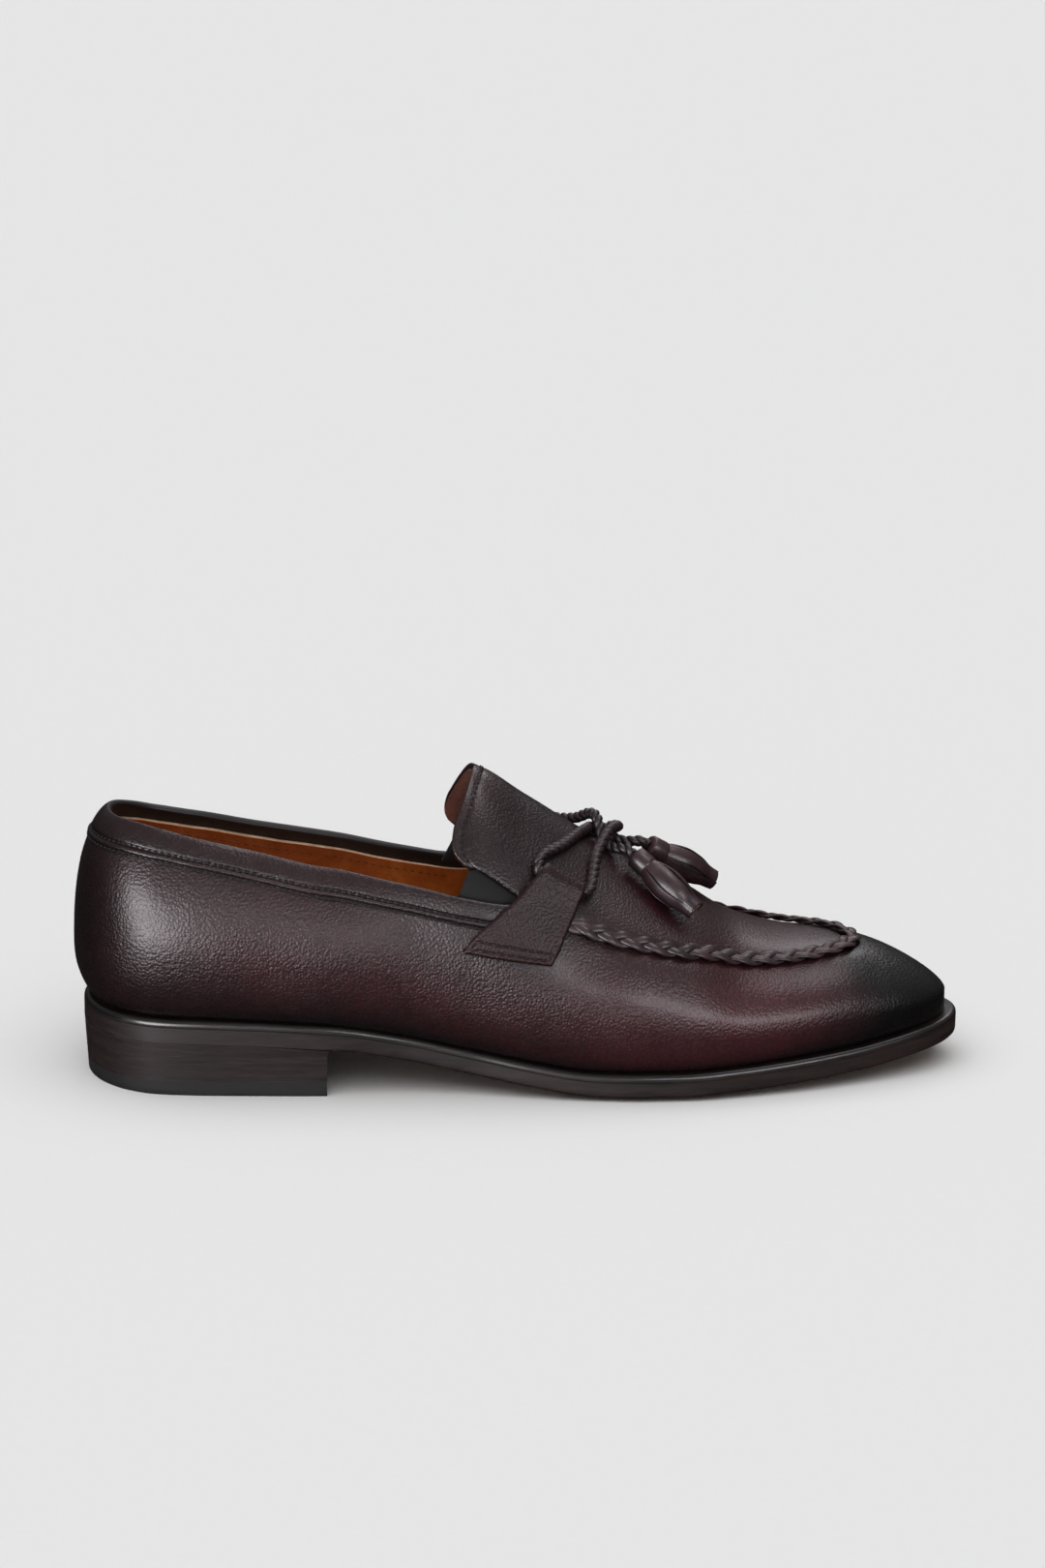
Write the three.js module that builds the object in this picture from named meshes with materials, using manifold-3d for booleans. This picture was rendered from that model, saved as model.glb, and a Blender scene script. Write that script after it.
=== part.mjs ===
// A right-foot tassel loafer, built as a shoemaker's parts: heel top piece and lifts, outsole, midsole whose
// edge shows as the welt, insole, hollow upper with its tongue, elastic gores, saddle tabs, braid, tied cord
// and two tassels. Millimetres, +X to the toe, +Y to the inner side of the foot, +Z up, standing on Z = 0.
// The origin is on the floor, under the middle of the heel.
import * as THREE from 'three';
import Module from 'manifold-3d';
import { mergeVertices } from 'three/addons/utils/BufferGeometryUtils.js';

const wasm = await Module();
wasm.setup();

// Sole and heel
const soleLength = 300;
const ballWidth = 97;
const heelLength = 82;
const heelRise = 19;
const toeSpring = 9.8;
const outsoleThickness = 5;
const midsoleThickness = 2.7;
const insoleThickness = 2.5;
const topPieceThickness = 5;
const heelLiftCount = 3;
const heelTaper = 1.2;
const breastHollow = 2;
const edgeRound = 0.8;
const edgeTurnUp = 1.5;
const treadInset = 12;
const welt = 3.6;

// Upper
const wall = 2;
const backHeight = 65;
const instepHeight = 83;
const collarBand = 9;
const collarStep = 0.6;

// Trimmings
const goreThickness = 1.2;
const goreClearance = 0.8;
const tabThickness = 1.3;
const cordDiameter = 3.6;
const braidWidth = 4.8;
const braidHeight = 1.9;
const braidPitch = 9;
const capDiameter = 8;
const capLength = 7;
const skirtLength = 22;
const skirtDiameter = 11.4;
const skirtStrips = 6;
const stripThickness = 1.1;

// Clearance between pieces whose faces curve, and under a piece that lies on a bowed face
const gap = 0.3;
const bowedGap = 0.6;

// Half widths of the sole to each side of its swing line, as shares of the ball width. Every table's first
// column is the place along the sole, as a share of its length.
const PLAN = [
  { at: 0.000, swing: 0.000, outer: 0.000, inner: 0.000 },
  { at: 0.020, swing: 0.000, outer: 0.200, inner: 0.200 },
  { at: 0.050, swing: 0.000, outer: 0.292, inner: 0.292 },
  { at: 0.080, swing: 0.000, outer: 0.335, inner: 0.335 },
  { at: 0.117, swing: 0.000, outer: 0.352, inner: 0.350 },
  { at: 0.200, swing: 0.001, outer: 0.366, inner: 0.352 },
  { at: 0.273, swing: 0.003, outer: 0.374, inner: 0.340 },
  { at: 0.353, swing: 0.006, outer: 0.366, inner: 0.312 },
  { at: 0.430, swing: 0.010, outer: 0.385, inner: 0.330 },
  { at: 0.500, swing: 0.015, outer: 0.427, inner: 0.388 },
  { at: 0.570, swing: 0.021, outer: 0.462, inner: 0.455 },
  { at: 0.630, swing: 0.026, outer: 0.480, inner: 0.495 },
  { at: 0.680, swing: 0.029, outer: 0.477, inner: 0.510 },
  { at: 0.740, swing: 0.032, outer: 0.447, inner: 0.495 },
  { at: 0.800, swing: 0.034, outer: 0.405, inner: 0.450 },
  { at: 0.860, swing: 0.035, outer: 0.346, inner: 0.385 },
  { at: 0.910, swing: 0.035, outer: 0.284, inner: 0.312 },
  { at: 0.950, swing: 0.034, outer: 0.222, inner: 0.238 },
  { at: 0.980, swing: 0.033, outer: 0.148, inner: 0.154 },
  { at: 1.000, swing: 0.033, outer: 0.000, inner: 0.000 },
];

// Height of the sole's underside, as a share of the heel rise plus a share of the toe spring. Turn is the
// share of the turn-up at the edge, and ledge the share of the welt that stands out past the upper.
const PROFILE = [
  { at: 0.000, heel: 1.000, toe: 0.000, turn: 0.0, ledge: 0.75 },
  { at: 0.140, heel: 0.970, toe: 0.000, turn: 0.0, ledge: 0.60 },
  { at: 0.273, heel: 0.860, toe: 0.000, turn: 0.2, ledge: 0.40 },
  { at: 0.353, heel: 0.635, toe: 0.000, turn: 0.5, ledge: 0.35 },
  { at: 0.430, heel: 0.360, toe: 0.000, turn: 0.8, ledge: 0.45 },
  { at: 0.500, heel: 0.145, toe: 0.000, turn: 1.0, ledge: 0.65 },
  { at: 0.560, heel: 0.015, toe: 0.000, turn: 1.0, ledge: 0.80 },
  { at: 0.580, heel: 0.000, toe: 0.000, turn: 1.0, ledge: 0.85 },
  { at: 0.660, heel: 0.000, toe: 0.000, turn: 1.0, ledge: 0.90 },
  { at: 0.720, heel: 0.000, toe: 0.055, turn: 1.0, ledge: 0.95 },
  { at: 0.800, heel: 0.000, toe: 0.220, turn: 0.9, ledge: 1.00 },
  { at: 0.880, heel: 0.000, toe: 0.445, turn: 0.7, ledge: 1.05 },
  { at: 0.950, heel: 0.000, toe: 0.770, turn: 0.4, ledge: 1.10 },
  { at: 1.000, heel: 0.000, toe: 1.000, turn: 0.2, ledge: 1.15 },
];

// Ribs of the last. Outer and inner are how far the widest place of each side stands outside the sole line, as
// shares of the ball width. Widest is that place's share of the rib's height, and ridge is the height as a
// share of the instep height. Side and crown say how full the curve is above the widest place and at the top,
// and lean is the ridge line's shift to the inner side, as a share of the ball width.
const LAST = [
  { at: 0.000, outer: 0.030, inner: 0.030, widest: 0.245, ridge: 0.87, side: 0.78, crown: 0.72, lean: 0.00 },
  { at: 0.117, outer: 0.026, inner: 0.026, widest: 0.275, ridge: 0.87, side: 0.50, crown: 0.50, lean: 0.00 },
  { at: 0.200, outer: 0.024, inner: 0.026, widest: 0.285, ridge: 0.81, side: 0.48, crown: 0.50, lean: 0.00 },
  { at: 0.273, outer: 0.026, inner: 0.040, widest: 0.290, ridge: 0.80, side: 0.45, crown: 0.50, lean: 0.00 },
  { at: 0.350, outer: 0.034, inner: 0.060, widest: 0.28, ridge: 0.90, side: 0.44, crown: 0.50, lean: 0.01 },
  { at: 0.437, outer: 0.036, inner: 0.060, widest: 0.25, ridge: 1.068, side: 0.42, crown: 0.44, lean: 0.02 },
  { at: 0.500, outer: 0.026, inner: 0.045, widest: 0.24, ridge: 0.972, side: 0.42, crown: 0.44, lean: 0.03 },
  { at: 0.570, outer: 0.016, inner: 0.024, widest: 0.24, ridge: 0.84, side: 0.43, crown: 0.45, lean: 0.04 },
  { at: 0.630, outer: 0.010, inner: 0.010, widest: 0.25, ridge: 0.72, side: 0.46, crown: 0.47, lean: 0.05 },
  { at: 0.680, outer: 0.007, inner: 0.004, widest: 0.26, ridge: 0.61, side: 0.50, crown: 0.50, lean: 0.05 },
  { at: 0.740, outer: 0.002, inner: 0.000, widest: 0.28, ridge: 0.465, side: 0.53, crown: 0.54, lean: 0.04 },
  { at: 0.800, outer: -0.002, inner: -0.004, widest: 0.30, ridge: 0.392, side: 0.56, crown: 0.60, lean: 0.02 },
  { at: 0.860, outer: -0.007, inner: -0.008, widest: 0.32, ridge: 0.360, side: 0.56, crown: 0.60, lean: 0.01 },
  { at: 0.910, outer: -0.012, inner: -0.012, widest: 0.33, ridge: 0.305, side: 0.50, crown: 0.54, lean: 0.00 },
  { at: 1.000, outer: -0.044, inner: -0.044, widest: 0.28, ridge: 0.20, side: 0.18, crown: 0.48, lean: 0.00 },
];

// Height of the collar above the upper's lower edge, as shares of the back height.
const COLLAR = [
  { at: 0.000, outer: 0.982, inner: 0.982 },
  { at: 0.030, outer: 0.976, inner: 0.935 },
  { at: 0.070, outer: 0.954, inner: 0.888 },
  { at: 0.117, outer: 0.922, inner: 0.858 },
  { at: 0.200, outer: 0.848, inner: 0.803 },
  { at: 0.273, outer: 0.797, inner: 0.762 },
  { at: 0.340, outer: 0.788, inner: 0.730 },
  { at: 0.400, outer: 0.791, inner: 0.724 },
  { at: 0.460, outer: 0.796, inner: 0.757 },
  { at: 0.505, outer: 0.818, inner: 0.792 },
];

// The tongue's free edge, from its lower edge (0) up to the ridge (1): how far back from the throat it
// reaches, as a share of the sole's length.
const TONGUE = [
  { at: 0.00, back: 0.074 },
  { at: 0.07, back: 0.085 },
  { at: 0.15, back: 0.089 },
  { at: 0.26, back: 0.087 },
  { at: 0.38, back: 0.081 },
  { at: 0.58, back: 0.072 },
  { at: 0.80, back: 0.065 },
  { at: 1.00, back: 0.061 },
];

// The elastic gore: its back edge, its front edge, and the places of its foot and head on the ribs.
const GORE = [
  { at: 0.00, back: 0.410, front: 0.526, foot: 0.42 },
  { at: 0.50, back: 0.424, front: 0.526, foot: 0.51 },
  { at: 1.00, back: 0.438, front: 0.526, foot: 0.60 },
];

// A saddle tab, from its base (0) up to its fold (1): its back and front edges along the sole, and their
// heights above the sole as shares of the instep height. Lift is the share of the cord's diameter that the
// leather rises to pass over the cord.
const TAB = [
  { at: 0.00, back: 0.4220, front: 0.5210, backHeight: 0.417, frontHeight: 0.425, lift: 0.00 },
  { at: 0.25, back: 0.4370, front: 0.5290, backHeight: 0.490, frontHeight: 0.480, lift: 0.00 },
  { at: 0.50, back: 0.4600, front: 0.5370, backHeight: 0.575, frontHeight: 0.545, lift: 0.00 },
  { at: 0.72, back: 0.4840, front: 0.5455, backHeight: 0.660, frontHeight: 0.610, lift: 0.00 },
  { at: 0.80, back: 0.4930, front: 0.5485, backHeight: 0.695, frontHeight: 0.635, lift: 0.30 },
  { at: 0.86, back: 0.4995, front: 0.5510, backHeight: 0.720, frontHeight: 0.655, lift: 0.95 },
  { at: 0.92, back: 0.5060, front: 0.5535, backHeight: 0.745, frontHeight: 0.675, lift: 1.15 },
  { at: 0.97, back: 0.5115, front: 0.5555, backHeight: 0.765, frontHeight: 0.692, lift: 0.85 },
  { at: 1.00, back: 0.5150, front: 0.5570, backHeight: 0.778, frontHeight: 0.702, lift: 0.05 },
];

// The apron seam in plan, from the outer tab round the toe to the inner tab: places along and across the sole
// as shares of its length and of the ball width.
const APRON = [
  { at: 0.00, along: 0.551, across: -0.333 },
  { at: 0.08, along: 0.598, across: -0.335 },
  { at: 0.16, along: 0.660, across: -0.318 },
  { at: 0.24, along: 0.722, across: -0.250 },
  { at: 0.31, along: 0.778, across: -0.190 },
  { at: 0.38, along: 0.832, across: -0.118 },
  { at: 0.43, along: 0.863, across: -0.052 },
  { at: 0.48, along: 0.876, across: 0.035 },
  { at: 0.53, along: 0.866, across: 0.125 },
  { at: 0.58, along: 0.838, across: 0.205 },
  { at: 0.65, along: 0.780, across: 0.305 },
  { at: 0.73, along: 0.716, across: 0.400 },
  { at: 0.82, along: 0.650, across: 0.440 },
  { at: 0.91, along: 0.590, across: 0.435 },
  { at: 1.00, along: 0.551, across: 0.415 },
];

// A tassel's skirt: its radius as a share of half the skirt's diameter, along its length.
const SKIRT = [
  { at: 0.00, radius: 0.66 },
  { at: 0.12, radius: 0.82 },
  { at: 0.40, radius: 1.00 },
  { at: 0.62, radius: 0.92 },
  { at: 0.85, radius: 0.67 },
  { at: 1.00, radius: 0.62 },
];

const OUTER = -1;
const INNER = 1;

// A smooth curve through one column of a table, which never overshoots its rows.
function columnCurve(rows, column, spread = (at) => at) {
  const x = rows.map((row) => spread(row.at));
  const y = rows.map((row) => row[column]);
  const slope = x.slice(1).map((next, i) => (y[i + 1] - y[i]) / (next - x[i]));
  const tangent = y.map((_, i) => {
    if (i === 0) return slope[0];
    if (i === y.length - 1) return slope[i - 1];
    const product = slope[i - 1] * slope[i];
    return product <= 0 ? 0 : (2 * product) / (slope[i - 1] + slope[i]);
  });
  return (at) => {
    const place = THREE.MathUtils.clamp(spread(at), x[0], x[x.length - 1]);
    let i = 0;
    while (i < x.length - 2 && place > x[i + 1]) i += 1;
    const span = x[i + 1] - x[i];
    const t = (place - x[i]) / span;
    const s = 1 - t;
    return (
      y[i] * (1 + 2 * t) * s * s +
      y[i + 1] * (3 - 2 * t) * t * t +
      span * t * s * (tangent[i] * s - tangent[i + 1] * t)
    );
  };
}

// Round ends need places that crowd towards them: this turns a share of the length into an even angle.
const roundEnds = (at) => Math.acos(THREE.MathUtils.clamp(1 - 2 * at, -1, 1));
const curvesOf = (rows, spread) =>
  Object.fromEntries(Object.keys(rows[0]).slice(1).map((name) => [name, columnCurve(rows, name, spread)]));

const plan = curvesOf(PLAN, roundEnds);
const profile = curvesOf(PROFILE);
const last = curvesOf(LAST);
const collar = curvesOf(COLLAR);
const tongue = curvesOf(TONGUE);
const gore = curvesOf(GORE);
const tab = curvesOf(TAB);
const apron = curvesOf(APRON);
const skirt = curvesOf(SKIRT);

const underside = (at) => heelRise * profile.heel(at) + toeSpring * profile.toe(at);
const edgeUnderside = (at) => underside(at) + edgeTurnUp * profile.turn(at);
const outsoleTop = (at) => edgeUnderside(at) + outsoleThickness;
const midsoleBottom = (at) => outsoleTop(at) + gap;
const midsoleTop = (at) => midsoleBottom(at) + midsoleThickness;
const upperBottom = (at) => midsoleTop(at) + gap;

// Steps along the sole: even angles round the heel and toe, and even steps between. A step may be a fraction.
const heelRound = PLAN[4].at;
const toeRound = 0.885;
const HEEL_STEPS = 6;
const SIDE_STEPS = 24;
const TOE_STEPS = 7;
const STEPS = HEEL_STEPS + SIDE_STEPS + TOE_STEPS;

function stationAt(step) {
  const quarter = Math.PI / 2;
  if (step <= HEEL_STEPS) return heelRound * (1 - Math.cos((step / HEEL_STEPS) * quarter));
  if (step <= HEEL_STEPS + SIDE_STEPS) {
    return THREE.MathUtils.lerp(heelRound, toeRound, (step - HEEL_STEPS) / SIDE_STEPS);
  }
  return toeRound + (1 - toeRound) * Math.sin(((step - HEEL_STEPS - SIDE_STEPS) / TOE_STEPS) * quarter);
}

function stepAt(at) {
  if (at <= heelRound) return (Math.acos(1 - at / heelRound) / (Math.PI / 2)) * HEEL_STEPS;
  if (at <= toeRound) return HEEL_STEPS + ((at - heelRound) / (toeRound - heelRound)) * SIDE_STEPS;
  const turn = Math.asin((at - toeRound) / (1 - toeRound)) / (Math.PI / 2);
  return HEEL_STEPS + SIDE_STEPS + turn * TOE_STEPS;
}

// A small move along a curve, in steps or shares of it, that gives the curve's direction.
const nudge = 0.02;

// The sole's outline in plan, moved inwards by an inset.
function outline(side, step, inset = 0) {
  const place = (s) => {
    const at = stationAt(s);
    const half = ballWidth * (side === OUTER ? plan.outer(at) : plan.inner(at));
    return new THREE.Vector2(soleLength * at, ballWidth * plan.swing(at) + side * half);
  };
  if (inset === 0) return place(step);
  const along = new THREE.Vector2(0, 0);
  if (step < nudge) along.set(0, side);
  else if (step > STEPS - nudge) along.set(0, -side);
  else along.subVectors(place(step + nudge), place(step - nudge)).normalize();
  const inwards = new THREE.Vector2(side * along.y, -side * along.x);
  return place(step).addScaledVector(inwards, inset);
}

// The rings of points round the sole run up the outer side from the heel to the toe and back down the inner.
const RING = 2 * STEPS;
const ringSide = (k) => (k <= STEPS ? OUTER : INNER);
const ringStep = (k) => (k <= STEPS ? k : RING - k);

// A closed solid from its points and triangles.
function geometryOf(points, triangles) {
  const geometry = new THREE.BufferGeometry();
  geometry.setAttribute('position', new THREE.Float32BufferAttribute(points.flatMap((p) => [p.x, p.y, p.z]), 3));
  geometry.setIndex(triangles.flat());
  return geometry;
}

// Rings of points, from the lowest to the highest, joined into walls. Each cap is given as triangles of ring
// places, seen from above.
function stackOf(rings, capTriangles) {
  const size = rings[0].length;
  const triangles = [];
  for (let level = 0; level + 1 < rings.length; level += 1) {
    for (let k = 0; k < size; k += 1) {
      const next = (k + 1) % size;
      const low = level * size;
      const high = low + size;
      triangles.push([low + k, low + next, high + next], [low + k, high + next, high + k]);
    }
  }
  const top = (rings.length - 1) * size;
  for (const [a, b, c] of capTriangles) {
    triangles.push([c, b, a], [top + a, top + b, top + c]);
  }
  return geometryOf(rings.flat(), triangles);
}

// Triangles across the sole, from its outer side to its inner side. The heel and the toe end in one point.
function crossTriangles() {
  const triangles = [[0, 1, RING - 1]];
  for (let step = 1; step < STEPS; step += 1) {
    const inner = RING - step;
    triangles.push([step, inner - 1, inner]);
    if (step + 1 < STEPS) triangles.push([step, step + 1, inner - 1]);
  }
  return triangles;
}

// A layer of the sole. Each level of its edge has an inset from the sole's outline and a height.
function soleLayer(levels) {
  const rings = levels.map(({ inset, height }) =>
    Array.from({ length: RING }, (_, k) => {
      const at = stationAt(ringStep(k));
      const p = outline(ringSide(k), ringStep(k), inset(at));
      return new THREE.Vector3(p.x, p.y, height(p.x / soleLength));
    }));
  return stackOf(rings, crossTriangles());
}

function makeOutsole() {
  return soleLayer([
    { inset: () => treadInset, height: underside },
    { inset: () => edgeRound, height: edgeUnderside },
    { inset: () => 0, height: (at) => edgeUnderside(at) + edgeRound },
    { inset: () => 0, height: outsoleTop },
  ]);
}

function makeWelt() {
  return soleLayer([
    { inset: () => 0, height: midsoleBottom },
    { inset: () => 0, height: (at) => midsoleTop(at) - edgeRound },
    { inset: () => edgeRound, height: midsoleTop },
  ]);
}

function makeInsole() {
  const inset = (at) => welt * profile.ledge(at) + wall + 2 * gap;
  return soleLayer([
    { inset, height: upperBottom },
    { inset, height: (at) => upperBottom(at) + insoleThickness },
  ]);
}

// The heel: flat lifts under the sole, with a straight taper down to the top piece and a hollow breast.
const breastStep = stepAt(heelLength / soleLength);
const BREAST_POINTS = 4;

function heelRing(inset, height) {
  const points = [];
  const steps = Math.ceil(breastStep);
  for (let k = 0; k <= steps; k += 1) points.push(outline(OUTER, Math.min(k, breastStep), inset));
  const innerCorner = outline(INNER, breastStep, inset);
  const outerCorner = points[points.length - 1];
  for (let k = 1; k < BREAST_POINTS; k += 1) {
    const share = k / BREAST_POINTS;
    const p = outerCorner.clone().lerp(innerCorner, share);
    p.x -= breastHollow * 4 * share * (1 - share);
    points.push(p);
  }
  for (let k = steps; k > 0; k -= 1) points.push(outline(INNER, Math.min(k, breastStep), inset));
  return points.map((p) => new THREE.Vector3(p.x, p.y, height(p.x / soleLength)));
}

function makeHeelPiece(bottom, top) {
  const heelInset = (z) => heelTaper * (1 - z / heelRise);
  const levels = [
    { inset: heelInset(bottom), height: () => bottom },
    { inset: heelInset(Math.min(top, heelRise)), height: (at) => Math.min(top, underside(at) - gap) },
  ];
  const rings = levels.map(({ inset, height }) => heelRing(inset, height));
  const plane = rings[0].map((p) => new THREE.Vector2(p.x, p.y));
  return stackOf(rings, THREE.ShapeUtils.triangulateShape(plane, []));
}

// The last that the upper follows. Each rib leaves the sole's edge, swells to its widest place and closes in
// to the ridge line. Round the heel and the toe the ribs fan out from one point of that line.
function ridgePoint(at) {
  const place = THREE.MathUtils.clamp(at, heelRound, toeRound);
  const sideways = ballWidth * (plan.swing(place) + last.lean(place));
  return new THREE.Vector3(soleLength * place, sideways, upperBottom(place) + instepHeight * last.ridge(place));
}

function ridgeSlope(at) {
  if (at <= heelRound) return 0;
  const span = 0.004;
  const place = Math.min(at, toeRound);
  return (ridgePoint(place).z - ridgePoint(place - span).z) / (soleLength * span);
}

// The share of a rib's run that lies below its widest place, and how that lower part swells: how far out the
// curve's second point lies, and how high its second and third points lie.
const BELOW = 0.2;
const SWELL = { out: 0.55, second: 0.2, third: 0.5 };

function ribAt(side, step) {
  const at = stationAt(step);
  const bulge = ballWidth * (side === OUTER ? last.outer(at) : last.inner(at));
  const foot = outline(side, step, welt * profile.ledge(at));
  const wide = outline(side, step, -bulge);
  const ridge = ridgePoint(at);
  const low = upperBottom(foot.x / soleLength);
  const rise = ridge.z - low;
  const mid = low + rise * last.widest(at);
  const reach = new THREE.Vector2(ridge.x - wide.x, ridge.y - wide.y);
  const crown = last.crown(at);
  const below = new THREE.CubicBezierCurve3(
    new THREE.Vector3(foot.x, foot.y, low),
    new THREE.Vector3(THREE.MathUtils.lerp(foot.x, wide.x, SWELL.out),
      THREE.MathUtils.lerp(foot.y, wide.y, SWELL.out), THREE.MathUtils.lerp(low, mid, SWELL.second)),
    new THREE.Vector3(wide.x, wide.y, THREE.MathUtils.lerp(low, mid, SWELL.third)),
    new THREE.Vector3(wide.x, wide.y, mid),
  );
  const above = new THREE.CubicBezierCurve3(
    new THREE.Vector3(wide.x, wide.y, mid),
    new THREE.Vector3(wide.x, wide.y, THREE.MathUtils.lerp(mid, ridge.z, last.side(at))),
    new THREE.Vector3(ridge.x - crown * reach.x, ridge.y - crown * reach.y,
      ridge.z - ridgeSlope(at) * crown * reach.x),
    ridge,
  );
  return (share) => (share < BELOW ? below.getPoint(share / BELOW) : above.getPoint((share - BELOW) / (1 - BELOW)));
}

// The direction straight out of the leather.
function outwards(side, step, share) {
  if (share > 0.999) return new THREE.Vector3(-ridgeSlope(stationAt(step)), 0, 1).normalize();
  const along = new THREE.Vector3();
  if (step < nudge) along.set(0, side, 0);
  else if (step > STEPS - nudge) along.set(0, -side, 0);
  else along.subVectors(ribAt(side, step + nudge)(share), ribAt(side, step - nudge)(share));
  const rib = ribAt(side, step);
  const up = new THREE.Vector3().subVectors(rib(Math.min(1, share + nudge)), rib(Math.max(0, share - nudge)));
  return along.cross(up).normalize().multiplyScalar(-side);
}

// A point of the leather, lifted straight out of it.
function lastPoint(side, step, share, lift = 0) {
  return ribAt(side, step)(share).addScaledVector(outwards(side, step, share), lift);
}

// The place on a rib that lies this high above its foot.
function shareAtHeight(side, step, height) {
  const rib = ribAt(side, step);
  const low = rib(0).z;
  let below = 0;
  let above = 1;
  for (let turn = 0; turn < 24; turn += 1) {
    const middle = (below + above) / 2;
    if (rib(middle).z - low < height) below = middle;
    else above = middle;
  }
  return below;
}

// A skin of leather from its open outer surface: the inner surface behind it, and a rim round every edge.
function skinOf(outerPoints, innerPoints, triangles) {
  const count = outerPoints.length;
  const edges = new Map();
  for (const [a, b, c] of triangles) {
    for (const [from, to] of [[a, b], [b, c], [c, a]]) {
      const back = `${to}:${from}`;
      if (edges.has(back)) edges.delete(back);
      else edges.set(`${from}:${to}`, [from, to]);
    }
  }
  const skin = [...triangles];
  for (const [a, b, c] of triangles) skin.push([count + c, count + b, count + a]);
  for (const [from, to] of edges.values()) {
    skin.push([to, from, count + from], [to, count + from, count + to]);
  }
  return geometryOf([...outerPoints, ...innerPoints], skin);
}

// A patch of grid points. Cells whose corners coincide become single triangles or nothing.
class Patchwork {
  constructor() {
    this.places = [];
    this.triangles = [];
    this.index = new Map();
  }

  place(key, value) {
    if (!this.index.has(key)) {
      this.index.set(key, this.places.length);
      this.places.push(value);
    }
    return this.index.get(key);
  }

  cell(a, b, c, d) {
    if (a !== b && b !== c && a !== c) this.triangles.push([a, b, c]);
    if (a !== c && c !== d && a !== d) this.triangles.push([a, c, d]);
  }
}

// Rows of the upper. The quarter's rows run up to the collar, the last two of them on the raised band, and
// the front's rows run on to the ridge. The throat is where the opening ends and the tongue begins. The tongue
// rises by a share of the rib towards its edge, the band fades out over some steps in front of the throat, and
// its lower edge is a narrow slope, as a share of the rib.
const LOWER_ROWS = 5;
const COLLAR_ROW = LOWER_ROWS + 2;
const RIDGE_ROW = COLLAR_ROW + 7;
const throat = 0.501;
const throatStep = Math.round(stepAt(throat));
const TONGUE_COLUMNS = 4;
const tongueLift = 0.03;
const bandFade = 2;
const stepWidth = 0.006;

function collarHeight(side, step) {
  const at = stationAt(Math.min(step, throatStep));
  return backHeight * (side === OUTER ? collar.outer(at) : collar.inner(at));
}

function quarterShare(side, step, row) {
  const height = collarHeight(side, step);
  const bandShare = shareAtHeight(side, step, height - collarBand);
  if (row <= LOWER_ROWS) return (bandShare * row) / LOWER_ROWS;
  if (row < COLLAR_ROW) return bandShare + stepWidth;
  return shareAtHeight(side, step, height);
}

function frontShare(side, row) {
  const notch = quarterShare(side, throatStep, COLLAR_ROW);
  if (row <= COLLAR_ROW) return quarterShare(side, throatStep, row);
  return THREE.MathUtils.lerp(notch, 1, (row - COLLAR_ROW) / (RIDGE_ROW - COLLAR_ROW));
}

function upperPlace(side, step, row) {
  if (step <= throatStep) {
    const share = row <= COLLAR_ROW ? quarterShare(side, step, row) : frontShare(side, row);
    return { side, step, share, lift: row > LOWER_ROWS && row <= COLLAR_ROW ? collarStep : 0 };
  }
  const fade = THREE.MathUtils.smoothstep(step, throatStep, throatStep + bandFade);
  const share = THREE.MathUtils.lerp(frontShare(side, row), row / RIDGE_ROW, fade);
  return { side, step, share, lift: row > LOWER_ROWS && row <= COLLAR_ROW ? collarStep * (1 - fade) : 0 };
}

function tonguePlace(side, row, column) {
  const up = (row - COLLAR_ROW) / (RIDGE_ROW - COLLAR_ROW);
  const share = frontShare(side, row) + (tongueLift * (1 - up) * column) / TONGUE_COLUMNS;
  const at = stationAt(throatStep) - (tongue.back(up) * column) / TONGUE_COLUMNS;
  return { side, step: stepAt(at), share, lift: 0 };
}

function makeUpper() {
  const work = new Patchwork();
  const toeStep = HEEL_STEPS + SIDE_STEPS;
  const at = (k, row) => {
    const ring = (k + RING) % RING;
    const side = ringSide(ring);
    const step = ringStep(ring);
    const place = upperPlace(side, step, row);
    return work.place(row === RIDGE_ROW ? `ridge:${Math.min(step, toeStep)}` : `${ring}:${row}`, place);
  };
  for (let k = 0; k < RING; k += 1) {
    const behindThroat = Math.min(ringStep(k), ringStep(k + 1)) < throatStep;
    const rows = behindThroat ? COLLAR_ROW : RIDGE_ROW;
    for (let row = 0; row < rows; row += 1) {
      work.cell(at(k, row), at(k + 1, row), at(k + 1, row + 1), at(k, row + 1));
    }
  }
  for (const side of [OUTER, INNER]) {
    const ring = side === OUTER ? throatStep : RING - throatStep;
    const onTongue = (row, column) => {
      if (column === 0) return at(ring, row);
      const key = row === RIDGE_ROW ? `tongue:${column}` : `tongue:${side}:${row}:${column}`;
      return work.place(key, tonguePlace(side, row, column));
    };
    for (let row = COLLAR_ROW; row < RIDGE_ROW; row += 1) {
      for (let column = 0; column < TONGUE_COLUMNS; column += 1) {
        const corners = [onTongue(row, column + 1), onTongue(row, column), onTongue(row + 1, column),
          onTongue(row + 1, column + 1)];
        work.cell(...(side === OUTER ? corners : corners.reverse()));
      }
    }
  }
  const outer = work.places.map(({ side, step, share, lift }) => lastPoint(side, step, share, lift));
  const inner = work.places.map(({ side, step, share }) => {
    if (share > 0) return lastPoint(side, step, share, -wall);
    const flat = outwards(side, step, 0).setZ(0).normalize();
    const p = lastPoint(side, step, 0).addScaledVector(flat, -wall);
    return p.setZ(upperBottom(p.x / soleLength));
  });
  return skinOf(outer, inner, work.triangles);
}

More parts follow.
